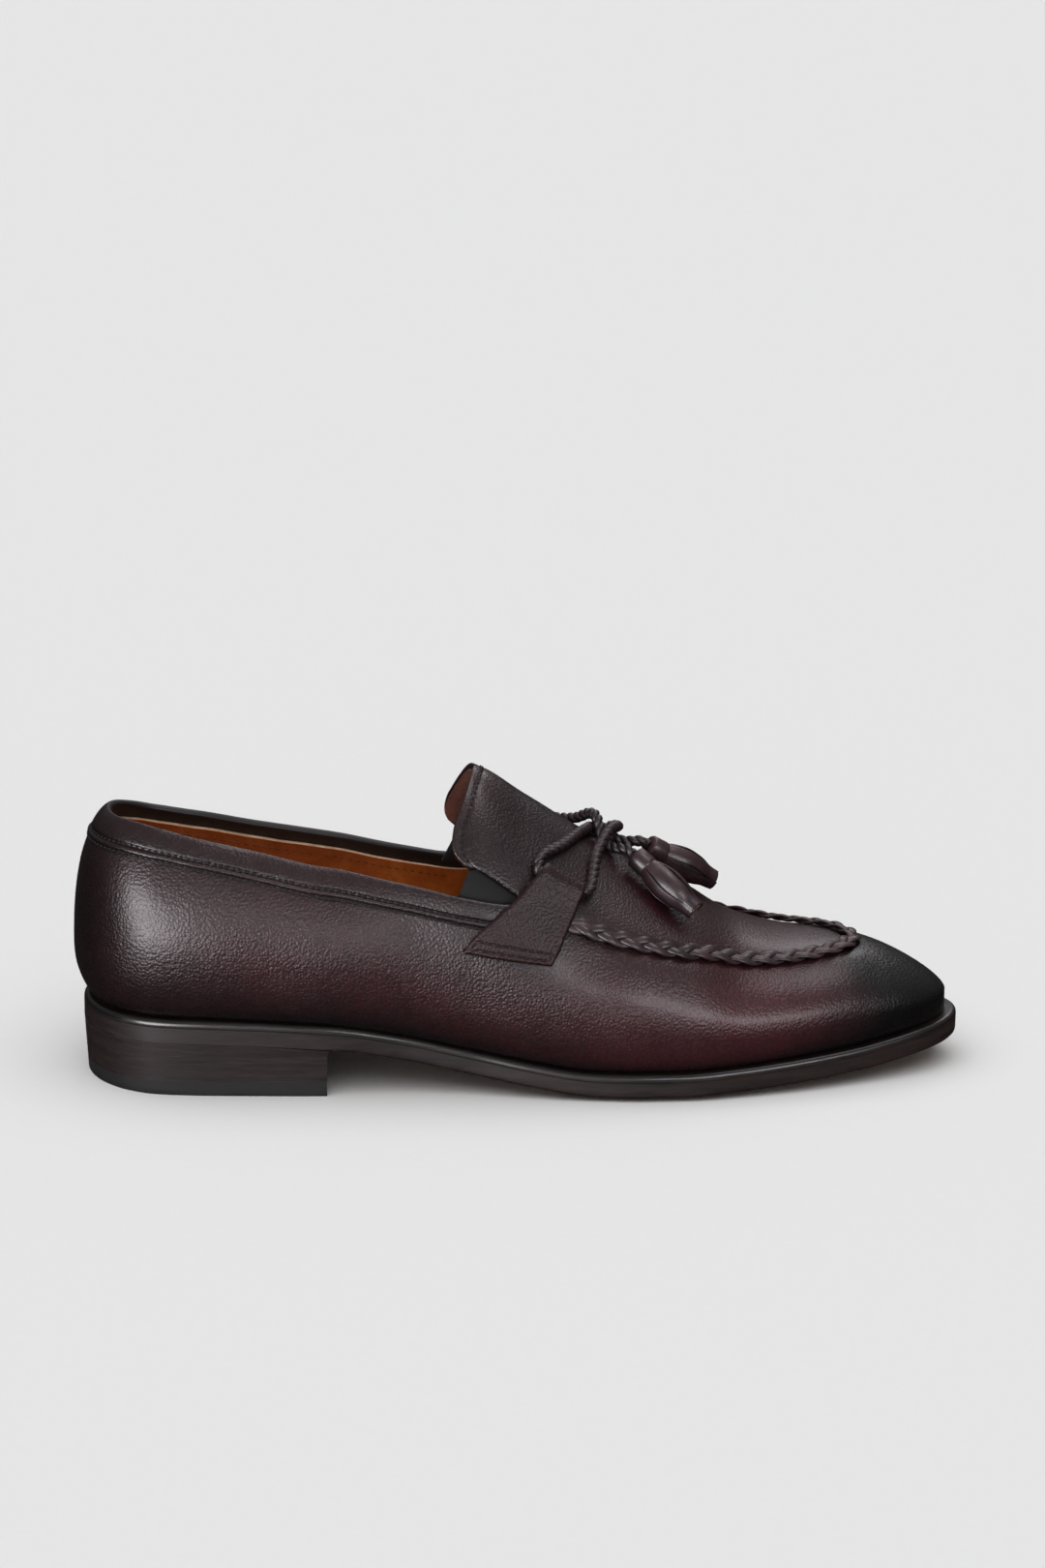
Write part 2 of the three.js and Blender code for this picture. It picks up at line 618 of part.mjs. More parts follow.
// A patch of leather, with a function that gives each grid place its outer and inner point.
function patchOf(rows, columns, side, pointAt) {
  const work = new Patchwork();
  const at = (row, column) => work.place(`${row}:${column}`, { row, column });
  for (let row = 0; row < rows; row += 1) {
    for (let column = 0; column < columns; column += 1) {
      const corners = [at(row, column), at(row, column + 1), at(row + 1, column + 1), at(row + 1, column)];
      work.cell(...(side === OUTER ? corners : corners.reverse()));
    }
  }
  const outer = work.places.map(({ row, column }) => pointAt(row / rows, column / columns, true));
  const inner = work.places.map(({ row, column }) => pointAt(row / rows, column / columns, false));
  return skinOf(outer, inner, work.triangles);
}

const GORE_ROWS = 5;
const GORE_COLUMNS = 3;

function makeGore(side) {
  return patchOf(GORE_ROWS, GORE_COLUMNS, side, (up, along, isOuter) => {
    const step = stepAt(THREE.MathUtils.lerp(gore.back(up), gore.front(up), along));
    return lastPoint(side, step, gore.foot(up), -(wall + goreClearance) - (isOuter ? 0 : goreThickness));
  });
}

// Where a place of the tab lies, with a lift above the upper's leather.
function tabPoint(side, up, along, lift) {
  const step = stepAt(THREE.MathUtils.lerp(tab.back(up), tab.front(up), along));
  const height = instepHeight * THREE.MathUtils.lerp(tab.backHeight(up), tab.frontHeight(up), along);
  return lastPoint(side, step, shareAtHeight(side, step, height), lift);
}

const TAB_COLUMNS = 4;

function makeTab(side) {
  const rows = TAB.length - 1;
  return patchOf(rows, TAB_COLUMNS, side, (share, along, isOuter) => {
    const up = TAB[Math.round(share * rows)].at;
    const lift = collarStep + bowedGap + cordDiameter * tab.lift(up);
    return tabPoint(side, up, along, lift + (isOuter ? tabThickness : 0));
  });
}

// The leather seen straight from above: a point on it and the direction out of it.
function leatherFinder(geometry) {
  const mesh = new THREE.Mesh(geometry);
  const caster = new THREE.Raycaster();
  const down = new THREE.Vector3(0, 0, -1);
  const heightAt = (x, y) => {
    caster.set(new THREE.Vector3(x, y, 2 * instepHeight), down);
    return caster.intersectObject(mesh)[0].point.z;
  };
  const span = 2;
  return (x, y) => {
    const slopeX = (heightAt(x + span, y) - heightAt(x - span, y)) / (2 * span);
    const slopeY = (heightAt(x, y + span) - heightAt(x, y - span)) / (2 * span);
    return {
      point: new THREE.Vector3(x, y, heightAt(x, y)),
      out: new THREE.Vector3(-slopeX, -slopeY, 1).normalize(),
    };
  };
}

// The braid: a flat band whose strips rise in a chevron, one pair to each pitch. Its top is a little narrower
// than its base, it is lower at its sides than in the middle, and the strips rise by a share of its height.
const BRAID_STEPS = 4;
const BRAID_COLUMNS = 4;
const ROUTE_POINTS = 200;
const topWidth = 0.94;
const sideDrop = 0.35;
const stripRise = 0.2;

function makeBraid(leatherAt) {
  const route = Array.from({ length: ROUTE_POINTS + 1 }, (_, i) => {
    const t = i / ROUTE_POINTS;
    return leatherAt(soleLength * apron.along(t), ballWidth * apron.across(t));
  });
  const line = new THREE.CatmullRomCurve3(route.map(({ point }) => point));
  const steps = Math.round(line.getLength() / braidPitch) * BRAID_STEPS;
  const rings = Array.from({ length: steps + 1 }, (_, i) => {
    const t = i / steps;
    const middle = line.getPointAt(t);
    const travel = line.getTangentAt(t);
    const out = leatherAt(middle.x, middle.y).out;
    const across = new THREE.Vector3().crossVectors(out, travel).normalize();
    const upright = new THREE.Vector3().crossVectors(travel, across);
    const place = (sideways, height) =>
      middle.clone().addScaledVector(across, sideways).addScaledVector(upright, height);
    const ring = [place(-braidWidth / 2, bowedGap), place(braidWidth / 2, bowedGap)];
    for (let column = BRAID_COLUMNS; column >= 0; column -= 1) {
      const u = (2 * column) / BRAID_COLUMNS - 1;
      const turn = 2 * Math.PI * (i / BRAID_STEPS - Math.abs(u) / 4) + (u > 0 ? Math.PI : 0);
      const rise = braidHeight * (1 - sideDrop * u * u + stripRise * Math.cos(turn));
      ring.push(place((u * braidWidth * topWidth) / 2, bowedGap + rise));
    }
    return ring;
  });
  const capTriangles = rings[0].slice(2).map((_, i) => [0, i + 1, i + 2]);
  return stackOf(rings, capTriangles);
}

// The tassels lie on the vamp. Each has the head and the tail of its axis: places along and across the shoe as
// shares of the sole's length and of the ball width, and heights above the leather in skirt radii.
const TASSELS = [
  { side: OUTER, head: [0.611, -0.056, 0.98], tail: [0.672, -0.181, 1.09] },
  { side: INNER, head: [0.631, 0.093, 0.98], tail: [0.7, 0.155, 1.05] },
];

// The cord's route: places along and across as above, and heights above the leather in cord diameters. It
// runs from the outer tassel through the knot and the inner tab's fold, back over the knot and through the
// outer tab's fold, and on to the inner tassel.
const CORD_TO_INNER_TAB = [
  [0.5935, -0.0150, 0.62], [0.5860, 0.0060, 0.60], [0.5785, 0.0280, 0.92],
  [0.5728, 0.0480, 1.50], [0.5680, 0.0760, 1.76], [0.5635, 0.1120, 1.50],
  [0.5570, 0.1580, 0.85], [0.5440, 0.2030, 0.58], [0.5260, 0.2370, 0.58],
  [0.5060, 0.2600, 0.66],
];
const CORD_OVER_KNOT = [
  [0.5615, 0.3130, 0.62], [0.5690, 0.2742, 0.58], [0.5775, 0.2227, 0.58],
  [0.5860, 0.1800, 0.85], [0.5930, 0.1350, 1.50], [0.5955, 0.0900, 1.78],
  [0.5905, 0.0480, 1.87], [0.5835, 0.0080, 1.80], [0.5775, -0.0400, 1.35],
  [0.5735, -0.0900, 0.72], [0.5700, -0.1450, 0.58], [0.5668, -0.1980, 0.58],
  [0.5615, -0.2430, 0.62],
];
const CORD_TO_INNER_TASSEL = [
  [0.5053, -0.2350, 0.66], [0.5103, -0.2050, 0.60], [0.5215, -0.1739, 0.58],
  [0.5339, -0.1350, 0.58], [0.5444, -0.0902, 0.58], [0.5543, -0.0371, 0.58],
  [0.5635, 0.0180, 0.58], [0.5715, 0.0760, 0.58], [0.5830, 0.1040, 0.58],
  [0.5960, 0.1050, 0.60], [0.6090, 0.0960, 0.76],
];

// The straight neck of cord behind each tassel, and the cord's run through a tab's fold: the fold's place up
// the tab, and the cord's places across it.
const cordNeck = 3;
const foldPlace = 0.905;
const FOLD_RUN = [0.09, 0.36, 0.64, 0.91];
const foldLift = collarStep + gap + cordDiameter * 0.54;

// A place above the leather, with its height in a given unit.
function aboveLeather(leatherAt, [along, across, height], unit) {
  const { point, out } = leatherAt(soleLength * along, ballWidth * across);
  return point.addScaledVector(out, unit * height);
}

// A tassel's head, and the direction of its axis.
function tasselAxis(leatherAt, { head, tail }) {
  const from = aboveLeather(leatherAt, head, skirtDiameter / 2);
  const to = aboveLeather(leatherAt, tail, skirtDiameter / 2);
  return { from, axis: to.sub(from).normalize() };
}

function cordPoints(leatherAt) {
  const free = (place) => aboveLeather(leatherAt, place, cordDiameter);
  const inFold = (side, along) => tabPoint(side, foldPlace, along, foldLift);
  const [outerEnd, innerEnd] = TASSELS.map((tassel) => tasselAxis(leatherAt, tassel));
  const neck = ({ from, axis }) => from.clone().addScaledVector(axis, -cordNeck);
  return [
    outerEnd.from,
    neck(outerEnd),
    ...CORD_TO_INNER_TAB.map(free),
    ...FOLD_RUN.map((along) => inFold(INNER, along)),
    ...CORD_OVER_KNOT.map(free),
    ...FOLD_RUN.toReversed().map((along) => inFold(OUTER, along)),
    ...CORD_TO_INNER_TASSEL.map(free),
    neck(innerEnd),
    innerEnd.from,
  ];
}

const CORD_SIDES = 8;
const CORD_STEPS = 100;

function makeCord(leatherAt) {
  const path = new THREE.CatmullRomCurve3(cordPoints(leatherAt), false, 'centripetal');
  const section = new THREE.Shape(Array.from({ length: CORD_SIDES }, (_, i) => {
    const turn = (2 * Math.PI * i) / CORD_SIDES;
    return new THREE.Vector2(Math.cos(turn), Math.sin(turn)).multiplyScalar(cordDiameter / 2);
  }));
  return new THREE.ExtrudeGeometry(section, { steps: CORD_STEPS, extrudePath: path });
}

// Joining solids
function solidOf(geometry) {
  const bare = geometry.clone();
  bare.deleteAttribute('normal');
  bare.deleteAttribute('uv');
  const merged = mergeVertices(bare, 1e-4);
  return new wasm.Manifold(new wasm.Mesh({
    numProp: 3,
    vertProperties: new Float32Array(merged.getAttribute('position').array),
    triVerts: new Uint32Array(merged.getIndex().array),
  }));
}

function geometryOfSolid(solid) {
  const mesh = solid.getMesh();
  const geometry = new THREE.BufferGeometry();
  geometry.setAttribute('position', new THREE.BufferAttribute(new Float32Array(mesh.vertProperties), 3));
  geometry.setIndex(new THREE.BufferAttribute(new Uint32Array(mesh.triVerts), 1));
  return geometry;
}

// A turned solid along +X, from its [place, radius] profile.
function turned(profilePoints, segments) {
  const profile2 = profilePoints.map(([along, radius]) => new THREE.Vector2(radius, along));
  return new THREE.LatheGeometry(profile2, segments).rotateZ(-Math.PI / 2);
}

// A tassel along +X: a rolled cap, a core, and a skirt of bowed strips with slits between them. A strip fills
// a share of its part of the round, and less of it where the skirt bows out.
const TURNED_SIDES = 12;
const STRIP_ROWS = 6;
const STRIP_COLUMNS = 2;
const stripFill = 0.96;
const slitOpening = 0.12;

function makeTassel() {
  const capRadius = capDiameter / 2;
  const cap = turned([[0, 0], [0, capRadius - edgeRound], [edgeRound, capRadius], [capLength - edgeRound, capRadius],
    [capLength, capRadius - edgeRound], [capLength, 0]], TURNED_SIDES);
  const coreRadius = (skirtDiameter / 2) * skirt.radius(1) - stripThickness / 2;
  const core = turned([[capLength - edgeRound, 0], [capLength - edgeRound, coreRadius],
    [capLength + skirtLength - edgeRound, coreRadius], [capLength + skirtLength - edgeRound, 0]], TURNED_SIDES);
  let solid = solidOf(cap).add(solidOf(core));
  for (let k = 0; k < skirtStrips; k += 1) {
    const strip = patchOf(STRIP_ROWS, STRIP_COLUMNS, INNER, (share, across, isOuter) => {
      const radius = (skirtDiameter / 2) * skirt.radius(share) - (isOuter ? 0 : stripThickness);
      const spread = stripFill - slitOpening * Math.sin(Math.PI * share);
      const turn = (2 * Math.PI * (k + (across - 0.5) * spread)) / skirtStrips;
      const along = capLength - edgeRound / 2 + (skirtLength + edgeRound / 2) * share;
      return new THREE.Vector3(along, radius * Math.sin(turn), radius * Math.cos(turn));
    });
    solid = solid.add(solidOf(strip));
  }
  return geometryOfSolid(solid);
}

// Materials
const material = (color, roughness) => new THREE.MeshStandardMaterial({ color, roughness, metalness: 0 });
const calf = material('#3a1c1a', 0.35);
const soleLeather = material('#2a1714', 0.45);
const rubber = material('#171210', 0.8);
const sockLeather = material('#a8622c', 0.6);
const elastic = material('#241a1a', 0.9);
const cordLeather = material('#2e1a1a', 0.45);

// The shoe stands with the middle of its heel over the origin.
const shoe = new THREE.Group();
shoe.name = 'tassel_loafer';
shoe.position.set(-heelLength / 2, 0, 0);

function addPiece(name, geometry, finish) {
  const piece = new THREE.Mesh(geometry, finish);
  piece.name = name;
  shoe.add(piece);
  return piece;
}

const liftThickness = (heelRise - gap - topPieceThickness) / heelLiftCount;
addPiece('heel_top_piece', makeHeelPiece(0, topPieceThickness), rubber);
for (let lift = 0; lift < heelLiftCount; lift += 1) {
  const bottom = topPieceThickness + lift * liftThickness;
  addPiece(`heel_lift_${lift + 1}`, makeHeelPiece(bottom, bottom + liftThickness), soleLeather);
}
addPiece('outsole', makeOutsole(), soleLeather);
addPiece('welt', makeWelt(), soleLeather);
addPiece('insole', makeInsole(), sockLeather);
const upper = addPiece('upper', makeUpper(), calf);
const leatherAt = leatherFinder(upper.geometry);
for (const [side, word] of [[OUTER, 'outer'], [INNER, 'inner']]) {
  addPiece(`gore_${word}`, makeGore(side), elastic);
  addPiece(`tab_${word}`, makeTab(side), calf);
}
addPiece('braid', makeBraid(leatherAt), calf);
addPiece('cord', makeCord(leatherAt), cordLeather);
for (const place of TASSELS) {
  const tassel = addPiece(place.side === OUTER ? 'tassel_outer' : 'tassel_inner', makeTassel(), cordLeather);
  const { from, axis } = tasselAxis(leatherAt, place);
  tassel.position.copy(from).addScaledVector(axis, gap);
  tassel.quaternion.setFromUnitVectors(new THREE.Vector3(1, 0, 0), axis);
}

export default shoe;
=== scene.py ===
"""The looks of a right-foot leather tassel loafer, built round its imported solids.

Pieces are worked out in millimetres in the shoe's own frame, which starts at the back of the sole, on its
middle line: +X to the toe, +Y to the inner side of the foot, +Z up. Each finished piece is then moved to the
part's frame, whose origin is under the middle of the heel, and turned to metres.
"""

import functools
import math
from types import SimpleNamespace

import bmesh
import bpy
from mathutils import Matrix, Vector, kdtree
from mathutils.bvhtree import BVHTree


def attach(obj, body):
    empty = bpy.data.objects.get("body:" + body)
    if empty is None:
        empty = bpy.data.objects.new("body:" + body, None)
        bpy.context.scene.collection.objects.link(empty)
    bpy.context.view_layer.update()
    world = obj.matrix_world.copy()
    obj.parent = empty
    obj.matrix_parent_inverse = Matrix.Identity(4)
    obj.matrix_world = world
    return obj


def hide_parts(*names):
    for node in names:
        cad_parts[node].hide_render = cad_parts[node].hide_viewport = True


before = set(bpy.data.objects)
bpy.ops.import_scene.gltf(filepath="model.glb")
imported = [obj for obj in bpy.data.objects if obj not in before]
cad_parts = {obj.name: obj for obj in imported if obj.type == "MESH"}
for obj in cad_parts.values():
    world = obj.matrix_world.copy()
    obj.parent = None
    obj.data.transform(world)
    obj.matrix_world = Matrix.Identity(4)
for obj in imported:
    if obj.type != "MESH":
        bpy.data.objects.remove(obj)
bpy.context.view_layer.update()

MM = 0.001
PHOTO = (1080, 1620)

# Sizes of the sole and heel
SOLE_LENGTH = 300
BALL_WIDTH = 97
HEEL_LENGTH = 82
HEEL_RISE = 19
TOE_SPRING = 9.8
OUTSOLE = 5
MIDSOLE = 2.7
INSOLE = 2.5
TOP_PIECE = 5
LIFTS = 3
HEEL_TAPER = 1.2
BREAST_HOLLOW = 2
EDGE_TURN = 1.5
TREAD_INSET = 12
WELT = 3.6

# Sizes of the upper and its trimmings
WALL = 2
BACK_HEIGHT = 65
INSTEP = 83
COLLAR_STEP = 0.6
GORE_CLEARANCE = 0.8
GORE_THICKNESS = 1.2
TAB_THICKNESS = 1.3
CORD = 3.6
CAP_LENGTH = 7
SKIRT_LENGTH = 22
SKIRT_DIAMETER = 11.4
GAP = 0.3
BOWED_GAP = 0.6

# Half widths of the sole to each side of its swing line, as shares of the ball width
PLAN = {
    "at": (0, .02, .05, .08, .117, .2, .273, .353, .43, .5, .57, .63, .68, .74, .8, .86, .91, .95, .98, 1),
    "swing": (0, 0, 0, 0, 0, .001, .003, .006, .01, .015, .021, .026, .029, .032, .034, .035, .035, .034,
              .033, .033),
    "outer": (0, .2, .292, .335, .352, .366, .374, .366, .385, .427, .462, .48, .477, .447, .405, .346, .284,
              .222, .148, 0),
    "inner": (0, .2, .292, .335, .35, .352, .34, .312, .33, .388, .455, .495, .51, .495, .45, .385, .312,
              .238, .154, 0),
}

# The underside's height as shares of the heel rise and the toe spring, the turn-up of the edge, and the
# share of the welt that stands out past the upper
PROFILE = {
    "at": (0, .14, .273, .353, .43, .5, .56, .58, .66, .72, .8, .88, .95, 1),
    "heel": (1, .97, .86, .635, .36, .145, .015, 0, 0, 0, 0, 0, 0, 0),
    "toe": (0, 0, 0, 0, 0, 0, 0, 0, 0, .055, .22, .445, .77, 1),
    "turn": (0, 0, .2, .5, .8, 1, 1, 1, 1, 1, .9, .7, .4, .2),
    "ledge": (.75, .6, .4, .35, .45, .65, .8, .85, .9, .95, 1, 1.05, 1.1, 1.15),
}

# Ribs of the last: how far the widest place stands outside the sole line, its share of the rib's height, the
# ridge's height as a share of the instep, how full the curve is, and the ridge's lean to the inner side
LAST = {
    "at": (0, .117, .2, .273, .35, .437, .5, .57, .63, .68, .74, .8, .86, .91, 1),
    "outer": (.03, .026, .024, .026, .034, .036, .026, .016, .01, .007, .002, -.002, -.007, -.012, -.044),
    "inner": (.03, .026, .026, .04, .06, .06, .045, .024, .01, .004, 0, -.004, -.008, -.012, -.044),
    "widest": (.245, .275, .285, .29, .28, .25, .24, .24, .25, .26, .28, .3, .32, .33, .28),
    "ridge": (.87, .87, .81, .8, .9, 1.068, .972, .84, .72, .61, .465, .392, .36, .305, .2),
    "side": (.78, .5, .48, .45, .44, .42, .42, .43, .46, .5, .53, .56, .56, .5, .18),
    "crown": (.72, .5, .5, .5, .5, .44, .44, .45, .47, .5, .54, .6, .6, .54, .48),
    "lean": (0, 0, 0, 0, .01, .02, .03, .04, .05, .05, .04, .02, .01, 0, 0),
}

# Height of the collar above the upper's lower edge, as shares of the back height
COLLAR = {
    "at": (0, .03, .07, .117, .2, .273, .34, .4, .46, .505),
    "outer": (.982, .976, .954, .922, .848, .797, .788, .791, .796, .818),
    "inner": (.982, .935, .888, .858, .803, .762, .73, .724, .757, .792),
}

# How far back from the throat the tongue's free edge reaches, as a share of the sole's length
TONGUE = {
    "at": (0, .07, .15, .26, .38, .58, .8, 1),
    "back": (.074, .085, .089, .087, .081, .072, .065, .061),
}

# The elastic gore's back and front edges, and the place of each height on the ribs
GORE = {
    "at": (0, .5, 1),
    "back": (.41, .424, .438),
    "front": (.526, .526, .526),
    "foot": (.42, .51, .6),
}

# A saddle tab from its base to its fold: back and front edges along the sole, their heights as shares of the
# instep, and how far the leather rises over the cord in cord diameters
TAB = {
    "at": (0, .25, .5, .72, .8, .86, .92, .97, 1),
    "back": (.422, .437, .46, .484, .493, .4995, .506, .5115, .515),
    "front": (.521, .529, .537, .5455, .5485, .551, .5535, .5555, .557),
    "backHeight": (.417, .49, .575, .66, .695, .72, .745, .765, .778),
    "frontHeight": (.425, .48, .545, .61, .635, .655, .675, .692, .702),
    "lift": (0, .02, .1, .36, .6, .92, 1.12, .85, .05),
}

# The apron seam in plan, from the outer tab round the toe to the inner tab
APRON = {
    "at": (0, .08, .16, .24, .31, .38, .43, .48, .53, .58, .65, .73, .82, .91, 1),
    "along": (.551, .598, .66, .722, .778, .832, .863, .876, .866, .838, .78, .716, .65, .59, .551),
    "across": (-.333, -.335, -.318, -.25, -.19, -.118, -.052, .035, .125, .205, .305, .4, .44, .435, .415),
}

# A tassel's skirt: radius as a share of half its diameter
SKIRT = {
    "at": (0, .12, .4, .62, .85, 1),
    "radius": (.66, .82, 1, .92, .67, .62),
}

OUTER = -1
INNER = 1


def clamp(value, low=0.0, high=1.0):
    return max(low, min(high, value))


def lerp(a, b, share):
    return a + (b - a) * share


def smoothstep(value, low, high):
    t = clamp((value - low) / (high - low))
    return t * t * (3 - 2 * t)


def bell(away, reach):
    """1 at its middle, and next to nothing at twice its reach."""
    return math.exp(-(away / reach) ** 2)


def column_curve(places, values, spread):
    """A smooth curve through one column of a table, which never overshoots its rows."""
    x = [spread(place) for place in places]
    y = list(values)
    slope = [(y[i + 1] - y[i]) / (x[i + 1] - x[i]) for i in range(len(x) - 1)]
    tangent = [slope[0]]
    for before, after in zip(slope, slope[1:]):
        product = before * after
        tangent.append(0 if product <= 0 else 2 * product / (before + after))
    tangent.append(slope[-1])

    def value(at):
        place = clamp(spread(at), x[0], x[-1])
        i = 0
        while i < len(x) - 2 and place > x[i + 1]:
            i += 1
        span = x[i + 1] - x[i]
        t = (place - x[i]) / span
        s = 1 - t
        return (y[i] * (1 + 2 * t) * s * s + y[i + 1] * (3 - 2 * t) * t * t
                + span * t * s * (tangent[i] * s - tangent[i + 1] * t))
    return value


def curves_of(table, spread=lambda at: at):
    return SimpleNamespace(**{name: column_curve(table["at"], values, spread)
                              for name, values in table.items() if name != "at"})


plan = curves_of(PLAN, lambda at: math.acos(clamp(1 - 2 * at, -1, 1)))
profile, last, collar, tongue = map(curves_of, (PROFILE, LAST, COLLAR, TONGUE))
gore, tab, apron, skirt = map(curves_of, (GORE, TAB, APRON, SKIRT))


def underside(at):
    return HEEL_RISE * profile.heel(at) + TOE_SPRING * profile.toe(at)


def edge_underside(at):
    return underside(at) + EDGE_TURN * profile.turn(at)


def outsole_top(at):
    return edge_underside(at) + OUTSOLE


def midsole_bottom(at):
    return outsole_top(at) + GAP


def midsole_top(at):
    return midsole_bottom(at) + MIDSOLE


def upper_bottom(at):
    return midsole_top(at) + GAP


def ledge(at):
    """How far the welt stands out past the upper."""
    return WELT * profile.ledge(at)


# Steps along the sole: even angles round the heel and toe, and even steps between
HEEL_ROUND = 0.117
TOE_ROUND = 0.885
HEEL_STEPS = 6
SIDE_STEPS = 24
TOE_STEPS = 7
STEPS = HEEL_STEPS + SIDE_STEPS + TOE_STEPS
QUARTER = math.pi / 2
TURN = 2 * math.pi
NUDGE = 0.02


def station_at(step):
    if step <= HEEL_STEPS:
        return HEEL_ROUND * (1 - math.cos(step / HEEL_STEPS * QUARTER))
    if step <= HEEL_STEPS + SIDE_STEPS:
        return lerp(HEEL_ROUND, TOE_ROUND, (step - HEEL_STEPS) / SIDE_STEPS)
    return TOE_ROUND + (1 - TOE_ROUND) * math.sin((step - HEEL_STEPS - SIDE_STEPS) / TOE_STEPS * QUARTER)


def step_at(at):
    if at <= HEEL_ROUND:
        return math.acos(1 - at / HEEL_ROUND) / QUARTER * HEEL_STEPS
    if at <= TOE_ROUND:
        return HEEL_STEPS + (at - HEEL_ROUND) / (TOE_ROUND - HEEL_ROUND) * SIDE_STEPS
    return HEEL_STEPS + SIDE_STEPS + math.asin((at - TOE_ROUND) / (1 - TOE_ROUND)) / QUARTER * TOE_STEPS


@functools.cache
def sole_line(side, step):
    at = station_at(step)
    half = BALL_WIDTH * (plan.outer(at) if side == OUTER else plan.inner(at))
    return Vector((SOLE_LENGTH * at, BALL_WIDTH * plan.swing(at) + side * half))


@functools.cache
def sole_inwards(side, step):
    if step < NUDGE:
        along = Vector((0, side))
    elif step > STEPS - NUDGE:
        along = Vector((0, -side))
    else:
        along = (sole_line(side, step + NUDGE) - sole_line(side, step - NUDGE)).normalized()
    return Vector((side * along.y, -side * along.x))


def outline(side, step, inset=0):
    """The sole's outline in plan, moved inwards by an inset."""
    return sole_line(side, step) + sole_inwards(side, step) * inset


@functools.cache
def ridge_point(at):
    place = clamp(at, HEEL_ROUND, TOE_ROUND)
    sideways = BALL_WIDTH * (plan.swing(place) + last.lean(place))
    return Vector((SOLE_LENGTH * place, sideways, upper_bottom(place) + INSTEP * last.ridge(place)))


@functools.cache
def ridge_slope(at):
    if at <= HEEL_ROUND:
        return 0
    span = 0.004
    place = min(at, TOE_ROUND)
    return (ridge_point(place).z - ridge_point(place - span).z) / (SOLE_LENGTH * span)


# A rib's share up to its widest place, and the bends of the curve that leads there
BELOW = 0.2
SWELL_OUT = 0.55
SWELL_SECOND = 0.2
SWELL_THIRD = 0.5


@functools.cache
def rib(side, step):
    """A rib's two curves: from its foot to its widest place, and on to the ridge."""
    at = station_at(step)
    bulge = BALL_WIDTH * (last.outer(at) if side == OUTER else last.inner(at))
    foot = outline(side, step, ledge(at))
    wide = outline(side, step, -bulge)
    ridge = ridge_point(at)
    low = upper_bottom(foot.x / SOLE_LENGTH)
    mid = low + (ridge.z - low) * last.widest(at)
    reach = ridge.xy - wide
    crown = last.crown(at)
    swell = foot.lerp(wide, SWELL_OUT)
    below = (foot.to_3d() + Vector((0, 0, low)), Vector((swell.x, swell.y, lerp(low, mid, SWELL_SECOND))),
             Vector((wide.x, wide.y, lerp(low, mid, SWELL_THIRD))), Vector((wide.x, wide.y, mid)))
    above = (below[3], Vector((wide.x, wide.y, lerp(mid, ridge.z, last.side(at)))),
             Vector((ridge.x - crown * reach.x, ridge.y - crown * reach.y,
                     ridge.z - ridge_slope(at) * crown * reach.x)), ridge)
    return below, above


def bezier(points, t):
    s = 1 - t
    a, b, c, d = points
    return a * (s * s * s) + b * (3 * s * s * t) + c * (3 * s * t * t) + d * (t * t * t)


def rib_point(side, step, share):
    below, above = rib(side, step)
    return bezier(below, share / BELOW) if share < BELOW else bezier(above, (share - BELOW) / (1 - BELOW))


def outwards(side, step, share):
    """The direction straight out of the leather."""
    if share > 0.999:
        return Vector((-ridge_slope(station_at(step)), 0, 1)).normalized()
    if step < NUDGE:
        along = Vector((0, side, 0))
    elif step > STEPS - NUDGE:
        along = Vector((0, -side, 0))
    else:
        along = rib_point(side, step + NUDGE, share) - rib_point(side, step - NUDGE, share)
    up = rib_point(side, step, min(1, share + NUDGE)) - rib_point(side, step, max(0, share - NUDGE))
    return along.cross(up).normalized() * -side


def last_point(side, step, share, lift=0.0):
    return rib_point(side, step, share) + outwards(side, step, share) * lift


@functools.cache
def share_at_height(side, step, height):
    low = rib_point(side, step, 0).z
    below, above = 0.0, 1.0
    for _ in range(24):
        middle = (below + above) / 2
        if rib_point(side, step, middle).z - low < height:
            below = middle
        else:
            above = middle
    return below


# Where the tongue leaves the quarters, and how its lower edge rises on the ribs towards its free end
THROAT = 0.501
THROAT_STEP = round(step_at(THROAT))
TONGUE_LIFT = 0.03


def collar_height(side, step):
    at = station_at(min(step, THROAT_STEP))
    return BACK_HEIGHT * (collar.outer(at) if side == OUTER else collar.inner(at))


# Tools for making pieces


def spaced(low, high, count):
    return [lerp(low, high, i / count) for i in range(count + 1)]


def patch(bm, us, vs, place, finish=0, unit=(1, 1)):
    """A grid with a column at each u and a row at each v, each corner moved to place(u, v). The UV map holds
    u and v, times the millimetres of one unit of each."""
    verts = bmesh.ops.create_grid(bm, x_segments=len(us) - 1, y_segments=len(vs) - 1, size=0.5)["verts"]
    layer = bm.loops.layers.uv.verify()
    spots = {}
    for vert in verts:
        column = round((vert.co.x + 0.5) * (len(us) - 1))
        row = round((vert.co.y + 0.5) * (len(vs) - 1))
        spots[vert] = (us[column], vs[row])
    for vert, (u, v) in spots.items():
        vert.co = place(u, v)
    for face in {face for vert in verts for face in vert.link_faces}:
        face.material_index = finish
        for loop in face.loops:
            u, v = spots[loop.vert]
            loop[layer].uv = (u * unit[0], v * unit[1])


def weld(bm, distance=0.01):
    bmesh.ops.remove_doubles(bm, verts=bm.verts[:], dist=distance)
    bmesh.ops.dissolve_degenerate(bm, edges=bm.edges[:], dist=distance)


def mesh_of(bm, name):
    """The bmesh as a mesh. The bmesh is freed."""
    mesh = bpy.data.meshes.new(name)
    bm.to_mesh(mesh)
    bm.free()
    return mesh


